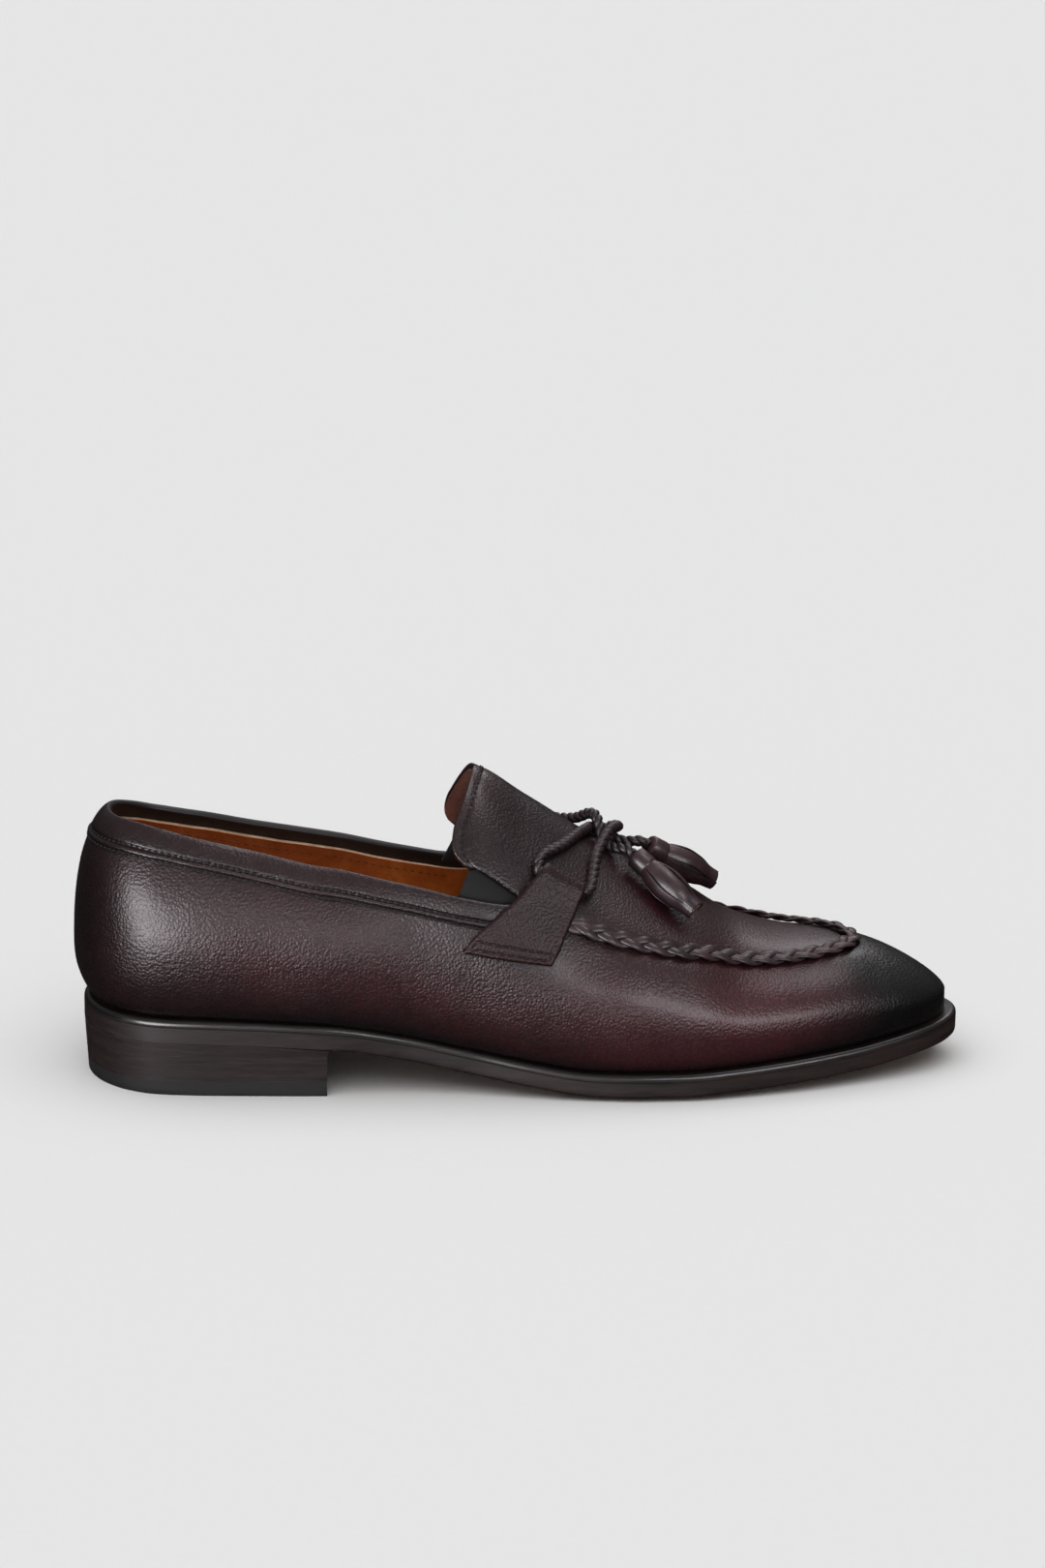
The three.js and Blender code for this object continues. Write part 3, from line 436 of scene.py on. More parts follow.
def close_holes(bm):
    """Caps on the open ends of tubes and rings."""
    rims = [edge for edge in bm.edges if edge.is_boundary]
    caps = bmesh.ops.holes_fill(bm, edges=rims)["faces"]
    bmesh.ops.triangulate(bm, faces=caps)


def placed(name, data):
    """A new object with this data, in the scene."""
    thing = bpy.data.objects.new(name, data)
    bpy.context.scene.collection.objects.link(thing)
    return thing


# Edges that turn more than this stay crisp in the shading
CRISP = math.radians(42)


def finished(bm, name, materials, replaces=(), closed=False):
    """The piece as an object in the part's frame, which rides on the shoe's one body."""
    if closed:
        bmesh.ops.recalc_face_normals(bm, faces=bm.faces[:])
    for face in bm.faces:
        face.smooth = True
    for edge in bm.edges:
        edge.smooth = edge.calc_face_angle(0) < CRISP
    bmesh.ops.translate(bm, vec=(-HEEL_LENGTH / 2, 0, 0), verts=bm.verts[:])
    bmesh.ops.scale(bm, vec=(MM, MM, MM), verts=bm.verts[:])
    mesh = mesh_of(bm, name)
    for material in materials:
        mesh.materials.append(material)
    piece = placed(name, mesh)
    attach(piece, "root")
    if replaces:
        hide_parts(*replaces)
    return piece


def thicken(piece, thickness, inner=0, rim=0, even=True):
    """Gives a sheet its thickness inwards. Inner and rim say how many materials on those faces are."""
    wall = piece.modifiers.new("wall", "SOLIDIFY")
    wall.thickness = thickness * MM
    wall.offset = -1
    wall.use_even_offset = even
    wall.material_offset = inner
    wall.material_offset_rim = rim


def to_metres(point):
    return (point - Vector((HEEL_LENGTH / 2, 0, 0))) * MM


# Camera


def aim_camera():
    """The photograph's view, worked out from the shoe's outline in it: its angles, distance and lens."""
    target = Vector((0.109, 0, 0.040))
    elevation, azimuth, roll = map(math.radians, (18.11, -4.03, 0.90))
    distance, focal = 1.3, 3929
    seen_x, seen_y = 542.7, 980.4
    back = Vector((math.sin(azimuth) * math.cos(elevation), -math.cos(azimuth) * math.cos(elevation),
                   math.sin(elevation)))
    right = Vector((math.cos(azimuth), math.sin(azimuth), 0))
    up = back.cross(right)
    turn = Matrix((right * math.cos(roll) + up * math.sin(roll),
                   up * math.cos(roll) - right * math.sin(roll), back)).transposed()
    pitch = math.atan((seen_y - PHOTO[1] / 2) / focal)
    yaw = math.atan((seen_x - PHOTO[0] / 2) / focal)
    turn = turn @ Matrix.Rotation(pitch, 3, "X") @ Matrix.Rotation(yaw, 3, "Y")
    data = bpy.data.cameras.new("photo_camera")
    data.sensor_width = 36
    data.lens = focal / PHOTO[1] * data.sensor_width
    data.clip_start, data.clip_end = 0.05, 60
    camera = placed("photo_camera", data)
    camera.matrix_world = Matrix.Translation(target + back * distance) @ turn.to_4x4()
    bpy.context.scene.camera = camera


aim_camera()


# Materials


def linear(code):
    """A colour written as an sRGB hex value, as linear light."""
    parts = [int(code[i:i + 2], 16) / 255 for i in (1, 3, 5)]
    return (*[c / 12.92 if c <= 0.04045 else ((c + 0.055) / 1.055) ** 2.4 for c in parts], 1)


def add_node(tree, kind, output, settings=None, inputs=None):
    """A node with its settings, its inputs set to values or joined to sockets. Gives the named output."""
    node = tree.nodes.new("ShaderNode" + kind)
    for name, value in (settings or {}).items():
        setattr(node, name, value)
    for name, value in (inputs or {}).items():
        if isinstance(value, bpy.types.NodeSocket):
            tree.links.new(value, node.inputs[name])
        else:
            node.inputs[name].default_value = linear(value) if isinstance(value, str) else value
    return node.outputs[output]


def new_material(name):
    material = bpy.data.materials.new(name)
    material.use_nodes = True
    return material, material.node_tree, material.node_tree.nodes["Principled BSDF"]


def finish_shader(tree, shader, colour, roughness, normal, **constants):
    """Joins colour, roughness and normal, and sets the constants on the shader's own sockets."""
    for name, value in (("Base Color", colour), ("Roughness", roughness), ("Normal", normal)):
        if isinstance(value, bpy.types.NodeSocket):
            tree.links.new(value, shader.inputs[name])
        else:
            shader.inputs[name].default_value = value
    for name, value in constants.items():
        shader.inputs[name.replace("_", " ")].default_value = value


BLEND = {"data_type": "RGBA"}


def polished_calf(name, body, warm, deep, grain_mm, coat, level=0.42):
    """Full-grain calf, drum dyed and hand polished: burgundy brown, redder where the polish is thin, nearly
    black at the seams and the toe. The pebble grain breaks the wax gloss into small sparks. Its cells are
    about 1 mm across, a little coarser than on the hide, so that they still show at arm's length. The dye
    clouds over 24 mm and the polish mottles over 4 mm."""
    material, tree, shader = new_material(name)
    where = add_node(tree, "TexCoord", "Object")
    shade = add_node(tree, "Attribute", "Fac", {"attribute_name": "shade"})
    warmth = add_node(tree, "Attribute", "Fac", {"attribute_name": "warmth"})
    cloud = add_node(tree, "TexNoise", "Fac", {},
                     {"Vector": where, "Scale": 42, "Detail": 3, "Roughness": 0.55})
    mottle = add_node(tree, "TexNoise", "Fac", {},
                      {"Vector": where, "Scale": 230, "Detail": 3, "Roughness": 0.6})
    cells = add_node(tree, "TexVoronoi", "Distance", {"feature": "SMOOTH_F1"},
                     {"Vector": where, "Scale": 1000 / grain_mm, "Smoothness": 0.35, "Randomness": 0.9})
    pores = add_node(tree, "TexNoise", "Fac", {},
                     {"Vector": where, "Scale": 1300 / grain_mm, "Detail": 3, "Roughness": 0.65})
    grain = add_node(tree, "Math", 0, {"operation": "MULTIPLY_ADD"}, {0: pores, 1: 0.6, 2: cells})
    warm_more = add_node(tree, "Math", 0, {"operation": "MULTIPLY_ADD"}, {0: mottle, 1: 0.5, 2: warmth})
    warm_part = add_node(tree, "MapRange", 0, {}, {"Value": warm_more, 1: 0.25, 2: 1.25})
    tone = add_node(tree, "Mix", 2, BLEND, {0: warm_part, 6: body, 7: warm})
    shade_more = add_node(tree, "Math", 0, {"operation": "MULTIPLY_ADD"}, {0: cloud, 1: 0.6, 2: shade})
    shade_part = add_node(tree, "MapRange", 0, {}, {"Value": shade_more, 1: 0.3, 2: 1.3})
    tone = add_node(tree, "Mix", 2, BLEND, {0: shade_part, 6: tone, 7: deep})
    valley = add_node(tree, "MapRange", 0, {}, {"Value": grain, 1: 0.4, 2: 0.85, 3: 0.0, 4: 0.5})
    tone = add_node(tree, "Mix", 2, BLEND, {0: valley, 6: tone, 7: deep})
    gloss = add_node(tree, "MapRange", 0, {}, {"Value": mottle, 1: 0.3, 2: 0.7, 3: 0.3, 4: 0.37})
    dull = add_node(tree, "Math", 0, {"operation": "MULTIPLY_ADD"}, {0: valley, 1: 0.1, 2: gloss})
    normal = add_node(tree, "Bump", "Normal", {"invert": True},
                      {"Height": grain, "Distance": 0.00018, "Strength": 0.8})
    finish_shader(tree, shader, tone, dull, normal, IOR=1.5, Specular_IOR_Level=level, Coat_Weight=coat,
                  Coat_Roughness=0.22, Coat_IOR=1.45)
    return material


def dyed_leather(name, dyes, broad, fine, spread, hollow, worn, relief, stretch=None, **constants):
    """Leather with a dye that varies with a broad noise and sinks between the fibres of a fine one. A noise
    is its scale to the metre, detail and roughness. Spread is the broad noise's range between the dyes, and
    hollow is where the fine one turns dark and how much. Worn is the noise that sets the roughness, 0 or 1,
    and its two ends, and relief is the fibres' depth in metres and its strength."""
    material, tree, shader = new_material(name)
    where = add_node(tree, "TexCoord", "Object")
    if stretch:
        where = add_node(tree, "Mapping", "Vector", {}, {"Vector": where, "Scale": stretch})
    noises = [add_node(tree, "TexNoise", "Fac", {},
                       {"Vector": where, "Scale": scale, "Detail": detail, "Roughness": rough})
              for scale, detail, rough in (broad, fine)]
    share = add_node(tree, "MapRange", 0, {}, {"Value": noises[0], 1: spread[0], 2: spread[1]})
    tone = add_node(tree, "Mix", 2, BLEND, {0: share, 6: dyes[0], 7: dyes[1]})
    dark = add_node(tree, "MapRange", 0, {}, {"Value": noises[1], 1: hollow[0], 2: 0.6, 3: hollow[1], 4: 0.0})
    tone = add_node(tree, "Mix", 2, BLEND, {0: dark, 6: tone, 7: dyes[0]})
    gloss = add_node(tree, "MapRange", 0, {},
                     {"Value": noises[worn[0]], 1: 0.3, 2: 0.7, 3: worn[1], 4: worn[2]})
    normal = add_node(tree, "Bump", "Normal", {},
                      {"Height": noises[1], "Distance": relief[0], "Strength": relief[1]})
    finish_shader(tree, shader, tone, gloss, normal, **constants)
    return material


def dressed_leather(name, dark, light, gloss, grain_mm, depth_mm, coat=0.0, spread_mm=9):
    """Smooth dressed leather with one dye that varies softly, and fibres or fine grain at the stated size."""
    return dyed_leather(name, (dark, light), (1000 / spread_mm, 3, 0.6), (1000 / grain_mm, 3, 0.65),
                        (0.3, 0.7), (0.35, 0.45), (0, gloss - 0.06, gloss + 0.06), (depth_mm * MM, 0.6),
                        IOR=1.5, Coat_Weight=coat, Coat_Roughness=0.25)


def napped_leather(name, dark, light):
    """Suede split: the flesh side, with a short nap that lies in soft patches of 4 mm and has no gloss. The
    tufts are 0.7 mm across, coarser than life."""
    return dyed_leather(name, (dark, light), (250, 3, 0.6), (1400, 4, 0.7), (0.3, 0.7), (0.3, 0.6),
                        (0, 0.95, 0.95), (0.0004, 0.8), Sheen_Weight=0.25, Sheen_Roughness=0.5)


def burnished_edge(name, dark, light, gloss, coat):
    """The cut edge of sole leather, inked and burnished with hot wax. Streaks 2.4 mm apart and fibres 0.45 mm
    apart, coarser than life, run along it."""
    return dyed_leather(name, (dark, light), (420, 4, 0.6), (2200, 3, 0.6), (0.35, 0.7), (0.35, 0.35),
                        (1, gloss - 0.04, gloss + 0.08), (0.00004, 0.5), stretch=(0.07, 0.07, 1.0), IOR=1.5,
                        Coat_Weight=coat, Coat_Roughness=0.2)


def covered_elastic(name):
    """Woven elastic webbing: ribs of covered rubber thread 0.9 mm apart, crossed by the weft. The piece's own
    UV map is in metres along and across the ribs."""
    material, tree, shader = new_material(name)
    where = add_node(tree, "UVMap", "UV", {"uv_map": "UVMap"})
    ribs = add_node(tree, "TexWave", "Fac", {"bands_direction": "X"},
                    {"Vector": where, "Scale": 1000 / 0.9 / 6.2832})
    weft = add_node(tree, "TexWave", "Fac", {"bands_direction": "Y"},
                    {"Vector": where, "Scale": 1000 / 0.7 / 6.2832})
    weave = add_node(tree, "Math", 0, {"operation": "MULTIPLY"}, {0: ribs, 1: weft})
    tone = add_node(tree, "Mix", 2, BLEND, {0: weave, 6: "#050404", 7: "#120f10"})
    normal = add_node(tree, "Bump", "Normal", {}, {"Height": weave, "Distance": 0.0003, "Strength": 0.8})
    finish_shader(tree, shader, tone, 0.85, normal, Sheen_Weight=0.05, Sheen_Roughness=0.4)
    return material


calf = polished_calf("burgundy_calf", "#37151b", "#561a21", "#0b0809", 0.95, 0.2)
tab_calf = polished_calf("saddle_calf", "#2e1215", "#4b171b", "#0c0909", 0.9, 0.0, 0.28)
facing = dressed_leather("collar_facing_leather", "#0a0809", "#171113", 0.52, 0.8, 0.06)
cut_edge = dressed_leather("lining_cut_edge", "#c99a74", "#ecc9ac", 0.8, 0.5, 0.05, spread_mm=4)
tan_lining = dressed_leather("vegetable_tanned_lining", "#9a4a18", "#c4702e", 0.52, 1.1, 0.09, 0.1)
sock = dressed_leather("sock_leather", "#9a5526", "#b97034", 0.55, 1.1, 0.08, 0.1)
rust_suede = napped_leather("rust_suede_lining", "#6a2c12", "#b05a2a")
elastic = covered_elastic("elastic_webbing")
strip_leather = dressed_leather("plaited_calf_strip", "#1c1214", "#43292c", 0.42, 0.7, 0.05, 0.15)
lace_leather = dressed_leather("waxed_leather_lace", "#1a1113", "#38262a", 0.46, 0.6, 0.06, 0.1)
tassel_leather = dressed_leather("tassel_calf", "#22151a", "#45272c", 0.4, 0.9, 0.06, 0.15)
tassel_core = napped_leather("tassel_core_leather", "#40221a", "#7a4a34")
thread = dressed_leather("waxed_linen_thread", "#050404", "#0b0809", 0.8, 0.4, 0.03)
tan_thread = dressed_leather("lining_thread", "#5c3315", "#7a4a20", 0.7, 0.4, 0.03)
sole_edge = burnished_edge("inked_sole_edge", "#1e1211", "#35231f", 0.46, 0.1)
welt_edge = burnished_edge("burnished_welt", "#0d0a0a", "#1c1413", 0.32, 0.25)
tread_leather = dressed_leather("sole_leather_tread", "#5d3b22", "#7a5130", 0.6, 1.0, 0.08)
rubber = dressed_leather("heel_rubber", "#0d0c0c", "#171414", 0.7, 0.8, 0.06)


# The upper


# Where the dye is darker or warmer: soft patches at places along the shoe and heights above the sole's edge,
# in millimetres, with their reach each way
PATINA = {
    "along": (300, 296, 272, 268, 262, 225, 190, 120, 60, 95, 20, 0, 150, 150, 175),
    "height": (10, 30, 26, 6, 28, 14, 12, 14, 22, 6, 40, 30, 66, 50, 30),
    "reach": (24, 18, 18, 30, 16, 40, 34, 50, 34, 70, 16, 9, 30, 16, 22),
    "rise": (30, 26, 14, 8, 10, 14, 12, 14, 16, 8, 40, 60, 26, 8, 10),
    "shade": (.7, .4, .55, .3, .2, -.15, -.15, -.1, -.1, .35, .2, .3, .35, .25, .12),
    "warmth": (-.6, -.4, -.1, 0, .1, .85, .6, .7, .35, .2, 0, -.2, -.2, 0, .5),
}


def dye(bm, base_shade=0.32, base_warmth=0.25):
    """The leather's tone: darker over its lowest 6 mm above the feather line, and darker or warmer in the
    patches of the table.
    """
    shade = bm.verts.layers.float.new("shade")
    warmth = bm.verts.layers.float.new("warmth")
    patches = list(zip(*PATINA.values()))
    for vert in bm.verts:
        along = vert.co.x
        height = vert.co.z - upper_bottom(clamp(along / SOLE_LENGTH))
        # Darker towards the feather line, over the lowest 6 mm of the upper
        dark = base_shade + 0.45 * (1 - smoothstep(height, 0, 6))
        warm = base_warmth
        for place, level, reach, rise, darker, warmer in patches:
            weight = bell(along - place, reach) * bell(height - level, rise)
            dark += darker * weight
            warm += warmer * weight
        vert[shade] = clamp(dark)
        vert[warmth] = clamp(warm)


def ring_of(halves):
    """Places right round: the steps up the outer side, and the same ones back down the inner side."""
    return halves + [2 * STEPS - k for k in reversed(halves[:-1])]


def ring_place(k):
    return (OUTER, k) if k <= STEPS else (INNER, 2 * STEPS - k)


@functools.cache
def notch_share(side, step):
    """The rib's share at the collar, and in front of the throat a share that keeps the rows even."""
    if step <= THROAT_STEP:
        return share_at_height(side, step, collar_height(side, step))
    fade = smoothstep(step, THROAT_STEP, THROAT_STEP + 4)
    return lerp(share_at_height(side, THROAT_STEP, collar_height(side, THROAT_STEP)), 0.5, fade)


def tongue_place(side, up, back):
    share = lerp(notch_share(side, THROAT_STEP), 1, up) + TONGUE_LIFT * (1 - up) * back
    return side, step_at(station_at(THROAT_STEP) - tongue.back(up) * back), min(share, 1)


# Finer steps beside the back seam
BACK_SEAM_STEPS = [0.05, 0.1, 0.2]


def skin(bm, per_step, rows, lift):
    """The upper's outer surface: the quarters up to the collar, the front up to the ridge, and the tongue."""
    ring = ring_of(sorted(set(spaced(0, STEPS, STEPS * per_step) + BACK_SEAM_STEPS)))
    front = [k for k in ring if THROAT_STEP <= k <= 2 * STEPS - THROAT_STEP]
    ups = spaced(0, 1, rows)

    def at(side, step, share, back=None, up=0):
        return last_point(side, step, share, lift(side, step, share, back, up))

    def low(k, v):
        side, step = ring_place(k)
        return at(side, step, v * notch_share(side, step))

    def high(k, v):
        side, step = ring_place(k)
        return at(side, step, lerp(notch_share(side, step), 1, v))

    patch(bm, ring, ups, low)
    patch(bm, front, ups, high)
    backs = spaced(0, 1, 6 * per_step)
    patch(bm, backs[::-1], ups, lambda b, v: at(*tongue_place(OUTER, v, b), b, v))
    patch(bm, backs, ups, lambda b, v: at(*tongue_place(INNER, v, b), b, v))
    weld(bm, 0.04)


def leather_finder():
    """The plain last seen from above: the point of the leather there, and the direction out of it."""
    bm = bmesh.new()
    skin(bm, 3, 16, lambda *place: 0)
    tree = BVHTree.FromBMesh(bm)
    bm.free()

    def height(x, y):
        return tree.ray_cast(Vector((x, y, 2 * INSTEP)), Vector((0, 0, -1)))[0].z

    def leather(x, y):
        span = 2
        slope_x = (height(x + span, y) - height(x - span, y)) / (2 * span)
        slope_y = (height(x, y + span) - height(x, y - span)) / (2 * span)
        return Vector((x, y, height(x, y))), Vector((-slope_x, -slope_y, 1)).normalized()
    return leather


def run_on(curve):
    """A curve that runs on straight past its two ends."""
    def value(t):
        at = clamp(t)
        slope = (curve(0.01) - curve(0)) * 100 if t < 0 else (curve(1) - curve(0.99)) * 100
        return curve(at) + (t - at) * slope
    return value


def tree_of(points):
    """Finds the nearest of some points."""
    tree = kdtree.KDTree(len(points))
    for index, point in enumerate(points):
        tree.insert(point, index)
    tree.balance()
    return tree


leather_at = leather_finder()
apron_along, apron_across = run_on(apron.along), run_on(apron.across)


def leather_over(along, across):
    """The leather at shares of the sole's length and the ball's width."""
    return leather_at(SOLE_LENGTH * along, BALL_WIDTH * across)


def apron_line(low, high, count):
    return [leather_over(apron_along(t), apron_across(t))[0] for t in spaced(low, high, count)]


seam_tree = tree_of(apron_line(0, 1, 260))

# Soft creases and hollows of the worn-in shape, in millimetres: where along the shoe, how high above the
# sole's edge, how long and wide, which way the crease runs in degrees, and how deep. A ridge is negative.
CREASES = {
    "side": (OUTER, OUTER, OUTER, INNER, INNER, OUTER, INNER, OUTER, OUTER),
    "along": (118, 128, 205, 120, 204, 52, 52, 176, 92),
    "height": (34, 22, 22, 30, 24, 32, 32, 40, 40),
    "length": (26, 22, 30, 28, 30, 26, 26, 20, 22),
    "width": (7, 6, 9, 8, 9, 12, 12, 7, 8),
    "angle": (-24, -14, 10, -20, 8, 80, 80, 20, -30),
    "depth": (.5, .35, .3, .5, .3, -.4, -.4, .35, .3),
}
crease_rows = list(zip(*CREASES.values()))

# The row of stitches inside the tongue's free edge, in millimetres from it
TONGUE_ROW = 3.2


def relief(side, step, share, back=None, up=0):
    """How far the worn leather lies off the plain last: the braid's trough, the back seam and the creases. On
    the tongue, back runs from the throat to the free edge, which is turned and stitched."""
    point = rib_point(side, step, share)
    if back is not None:
        inset = (1 - back) * SOLE_LENGTH * tongue.back(up)
        return 0.25 * bell(inset, 1.6) - 0.3 * bell(inset - TONGUE_ROW, 0.7)
    _, _, away = seam_tree.find(point)
    lift = -0.5 * bell(away, 3.4)
    if point.x < 15:
        lift += 0.22 * bell(abs(point.y) - 1.7, 0.9) - 0.45 * bell(point.y, 0.55)
    height = point.z - upper_bottom(point.x / SOLE_LENGTH)
    for where, along, level, length, width, angle, depth in crease_rows:
        if where == side and abs(point.x - along) < 2 * length:
            turn = math.radians(angle)
            dx, dz = point.x - along, height - level
            run = dx * math.cos(turn) + dz * math.sin(turn)
            across = dz * math.cos(turn) - dx * math.sin(turn)
            lift -= depth * bell(run, length) * bell(across, width)
    return lift


def make_upper():
    bm = bmesh.new()
    skin(bm, 6, 30, relief)
    dye(bm)
    piece = finished(bm, "upper_leather", [calf, rust_suede, calf], ["upper"])
    thicken(piece, WALL, inner=1, rim=2, even=False)


make_upper()

# The collar band from its lower edge over the topline to the facing inside: how far below the topline at the
# heel, and the lift off the last. A corded ridge runs between its two stitched grooves.
BAND = {
    "at": (0, .02, .04, .06, .085, .11, .14, .17, .2, .23, .26, .29, .33, .4, .5, .6, .65, .69, .73, .77, .81,
           .86, .92, 1),
    "down": (9.7, 9.65, 9.4, 9.1, 8.85, 8.6, 8.2, 7.8, 7.4, 7, 6.6, 6.2, 5.8, 4.9, 3, 1.1, .2, -.45,
             -.65, -.45, .15, 1.2, 3, 5.2),
    "lift": (0, .5, .62, .3, .32, .7, 1.05, 1.15, 1, .5, .2, .32, .7, .85, .9, .8, .55, .05, -.9, -1.7,
             -2.15, -2.2, -2.2, -2.15),
}
# The band's two rows of stitches, in millimetres below the topline, the grooves that they lie in, as shares
# of its rows with their reach, where painted shade darkens the tone, and the share where the dark facing
# starts
BAND_ROWS = (6.55, 9.0)
BAND_GROOVES = ((0.055, 0.014), (0.26, 0.016))
FACING_FROM = 0.7
COLLAR_ENDS = THROAT_STEP + 0.7

band = curves_of(BAND)


def signed_place(s):
    return (OUTER, s) if s >= 0 else (INNER, -s)


def band_narrows(s):
    """The band is an eighth narrower at the throat than at the heel."""
    return lerp(1, 0.88, min(1, abs(s) / THROAT_STEP))


def collar_point(s, down, lift):
    """A point by the topline: s is the step, positive on the outer side and negative on the inner."""
    side, step = signed_place(s)
    height = collar_height(side, step)
    share = share_at_height(side, step, height - max(down, 0))
    point = last_point(side, step, share, lift)
    if down < 0:
        up = (rib_point(side, step, share + NUDGE) - rib_point(side, step, share - NUDGE)).normalized()
        point += up * -down
    return point


def make_collar_band():
    bm = bmesh.new()

    def place(s, v):
        down = band.down(v)
        return collar_point(s, down * band_narrows(s) if down > 0 else down, band.lift(v))

    patch(bm, spaced(-COLLAR_ENDS, COLLAR_ENDS, 240), spaced(0, 1, 60), place)
    dye(bm, 0.45, 0.2)
    shade = bm.verts.layers.float["shade"]
    layer = bm.loops.layers.uv.active
    for face in bm.faces:
        for loop in face.loops:
            v = loop[layer].uv.y
            # Painted shade: the tone is a little darker in the band's stitched grooves
            groove_shade = sum(bell(v - bottom, reach) for bottom, reach in BAND_GROOVES)
            loop.vert[shade] = clamp(loop.vert[shade] + 0.03 * groove_shade)
        middle = sum(loop[layer].uv.y for loop in face.loops) / len(face.loops)
        face.material_index = 1 if middle > FACING_FROM else 0
    finished(bm, "collar_band", [calf, facing])


make_collar_band()

# The lining's ends on the steps, its cut edge below the topline, its lift off the last and its thickness
LINING_ENDS = THROAT_STEP - 1.2
LINING_TOP = 4.4
LINING_LIFT = -2.25
LINING_THICKNESS = 1.1


def make_quarter_lining():
    """The tan lining over the facing's lower edge, from one gore round the heel to the other. Its top edge is
    cut raw, a little unevenly."""
    bm = bmesh.new()

    def place(s, v):
        side, step = signed_place(s * LINING_ENDS)
        wave = 0.1 * math.sin(s * 31) + 0.06 * math.sin(s * 67 + 1)
        down = lerp(LINING_TOP + wave, collar_height(side, step) - 1.5, v ** 1.4)
        return collar_point(s * LINING_ENDS, down, LINING_LIFT)

    patch(bm, spaced(-1, 1, 150), spaced(1, 0, 30), place)
    piece = finished(bm, "quarter_lining", [tan_lining, tan_lining, cut_edge])
    thicken(piece, LINING_THICKNESS, inner=1, rim=2)


make_quarter_lining()


def make_gore(side, word):
    bm = bmesh.new()
    low, high = (0, 1) if side == OUTER else (1, 0)

    def place(u, v):
        step = step_at(lerp(gore.back(v), gore.front(v), u))
        return last_point(side, step, gore.foot(v), -WALL - GORE_CLEARANCE)

    patch(bm, spaced(low, high, 20), spaced(0, 1, 16), place, unit=(0.024, 0.02))
    piece = finished(bm, "elastic_gore_" + word, [elastic], ["gore_" + word])
    thicken(piece, GORE_THICKNESS)


def tab_point(side, up, along, lift):
    step = step_at(lerp(tab.back(up), tab.front(up), along))
    height = INSTEP * lerp(tab.backHeight(up), tab.frontHeight(up), along)
    return last_point(side, step, share_at_height(side, step, height), lift)


def tab_face(side, up, along, relief=0.0):
    """The outer face of a tab, whose leather rises over the cord."""
    lift = COLLAR_STEP + BOWED_GAP + CORD * tab.lift(up) + TAB_THICKNESS
    return tab_point(side, up, along, lift + relief)


# A tab's length over its face, its widths at base and fold, and its box of stitching: the two rows' heights,
# how far inside the edges the box stands and how deep the thread is drawn in
TAB_RISE = 38
TAB_WIDTHS = (31, 15)
TAB_ROWS = (3.2, 7.6)
TAB_BOX_INSET = 1.9
TAB_ROW_DEPTH = 0.22


def tab_relief(along, up):
    """The tab's face falls away at its turned edges, and dips under its box of stitching."""
    inside = min(along, 1 - along) * lerp(*TAB_WIDTHS, up)
    height = up * TAB_RISE
    lift = -0.5 * bell(min(inside, height), 0.55)
    inside -= TAB_BOX_INSET
    for row in TAB_ROWS:
        lift -= TAB_ROW_DEPTH * bell(height - row, 0.5) * smoothstep(inside, -0.6, 0.4)
    if TAB_ROWS[0] < height < TAB_ROWS[1]:
        lift -= TAB_ROW_DEPTH * bell(inside, 0.5)
    return lift


def make_tab(side, word):
    """A saddle tab with turned edges and a stitched base, which rises to its fold over the cord."""
    bm = bmesh.new()
    alongs = [0, .012, .03, .05] + spaced(.07, .93, 30) + [.95, .97, .988, 1]
    ups = [0, .008, .02, .035] + spaced(.05, .24, 18) + spaced(.26, .7, 10) + spaced(.73, 1, 18)
    if side == INNER:
        alongs = alongs[::-1]
    patch(bm, alongs, ups, lambda along, up: tab_face(side, up, along, tab_relief(along, up)))
    dye(bm, 0.22, 0.75)
    shade = bm.verts.layers.float["shade"]
    for edge in bm.edges:
        if edge.is_boundary:
            for vert in edge.verts:
                vert[shade] = 1.3
    piece = finished(bm, "saddle_tab_" + word, [tab_calf, tab_calf, thread], ["tab_" + word])
    thicken(piece, TAB_THICKNESS - 0.15, inner=1, rim=2)


for side, word in ((OUTER, "outer"), (INNER, "inner")):
    make_gore(side, word)
    make_tab(side, word)


# Lines, cords and plaits


def smooth_line(points, spacing):
    """Points at even spacing on a centripetal curve through the given ones."""
    ends = [points[0] * 2 - points[1], *points, points[-1] * 2 - points[-2]]
    dense = []
    for p0, p1, p2, p3 in zip(ends, ends[1:], ends[2:], ends[3:]):
        d1, d2, d3 = (math.sqrt((b - a).length) for a, b in ((p0, p1), (p1, p2), (p2, p3)))
        t1, t2 = d1, d1 + d2
        t3 = t2 + d3
        for i in range(12):
            t = lerp(t1, t2, i / 12)
            a1 = p0.lerp(p1, t / t1)
            a2 = p1.lerp(p2, (t - t1) / (t2 - t1))
            a3 = p2.lerp(p3, (t - t2) / (t3 - t2))
            b1 = a1.lerp(a2, t / t2)
            b2 = a2.lerp(a3, (t - t1) / (t3 - t1))
            dense.append(b1.lerp(b2, (t - t1) / (t2 - t1)))
    dense.append(points[-1].copy())
    return resampled(dense, spacing)


def resampled(dense, spacing):
    lengths = [0.0]
    for a, b in zip(dense, dense[1:]):
        lengths.append(lengths[-1] + (b - a).length)
    count = max(2, round(lengths[-1] / spacing))
    line, i = [], 0
    for n in range(count + 1):
        want = lengths[-1] * n / count
        while i < len(dense) - 2 and lengths[i + 1] < want:
            i += 1
        span = max(lengths[i + 1] - lengths[i], 1e-9)
        line.append(dense[i].lerp(dense[i + 1], clamp((want - lengths[i]) / span)))
    return line


def directions(line):
    return [(line[min(i + 1, len(line) - 1)] - line[max(i - 1, 0)]).normalized() for i in range(len(line))]


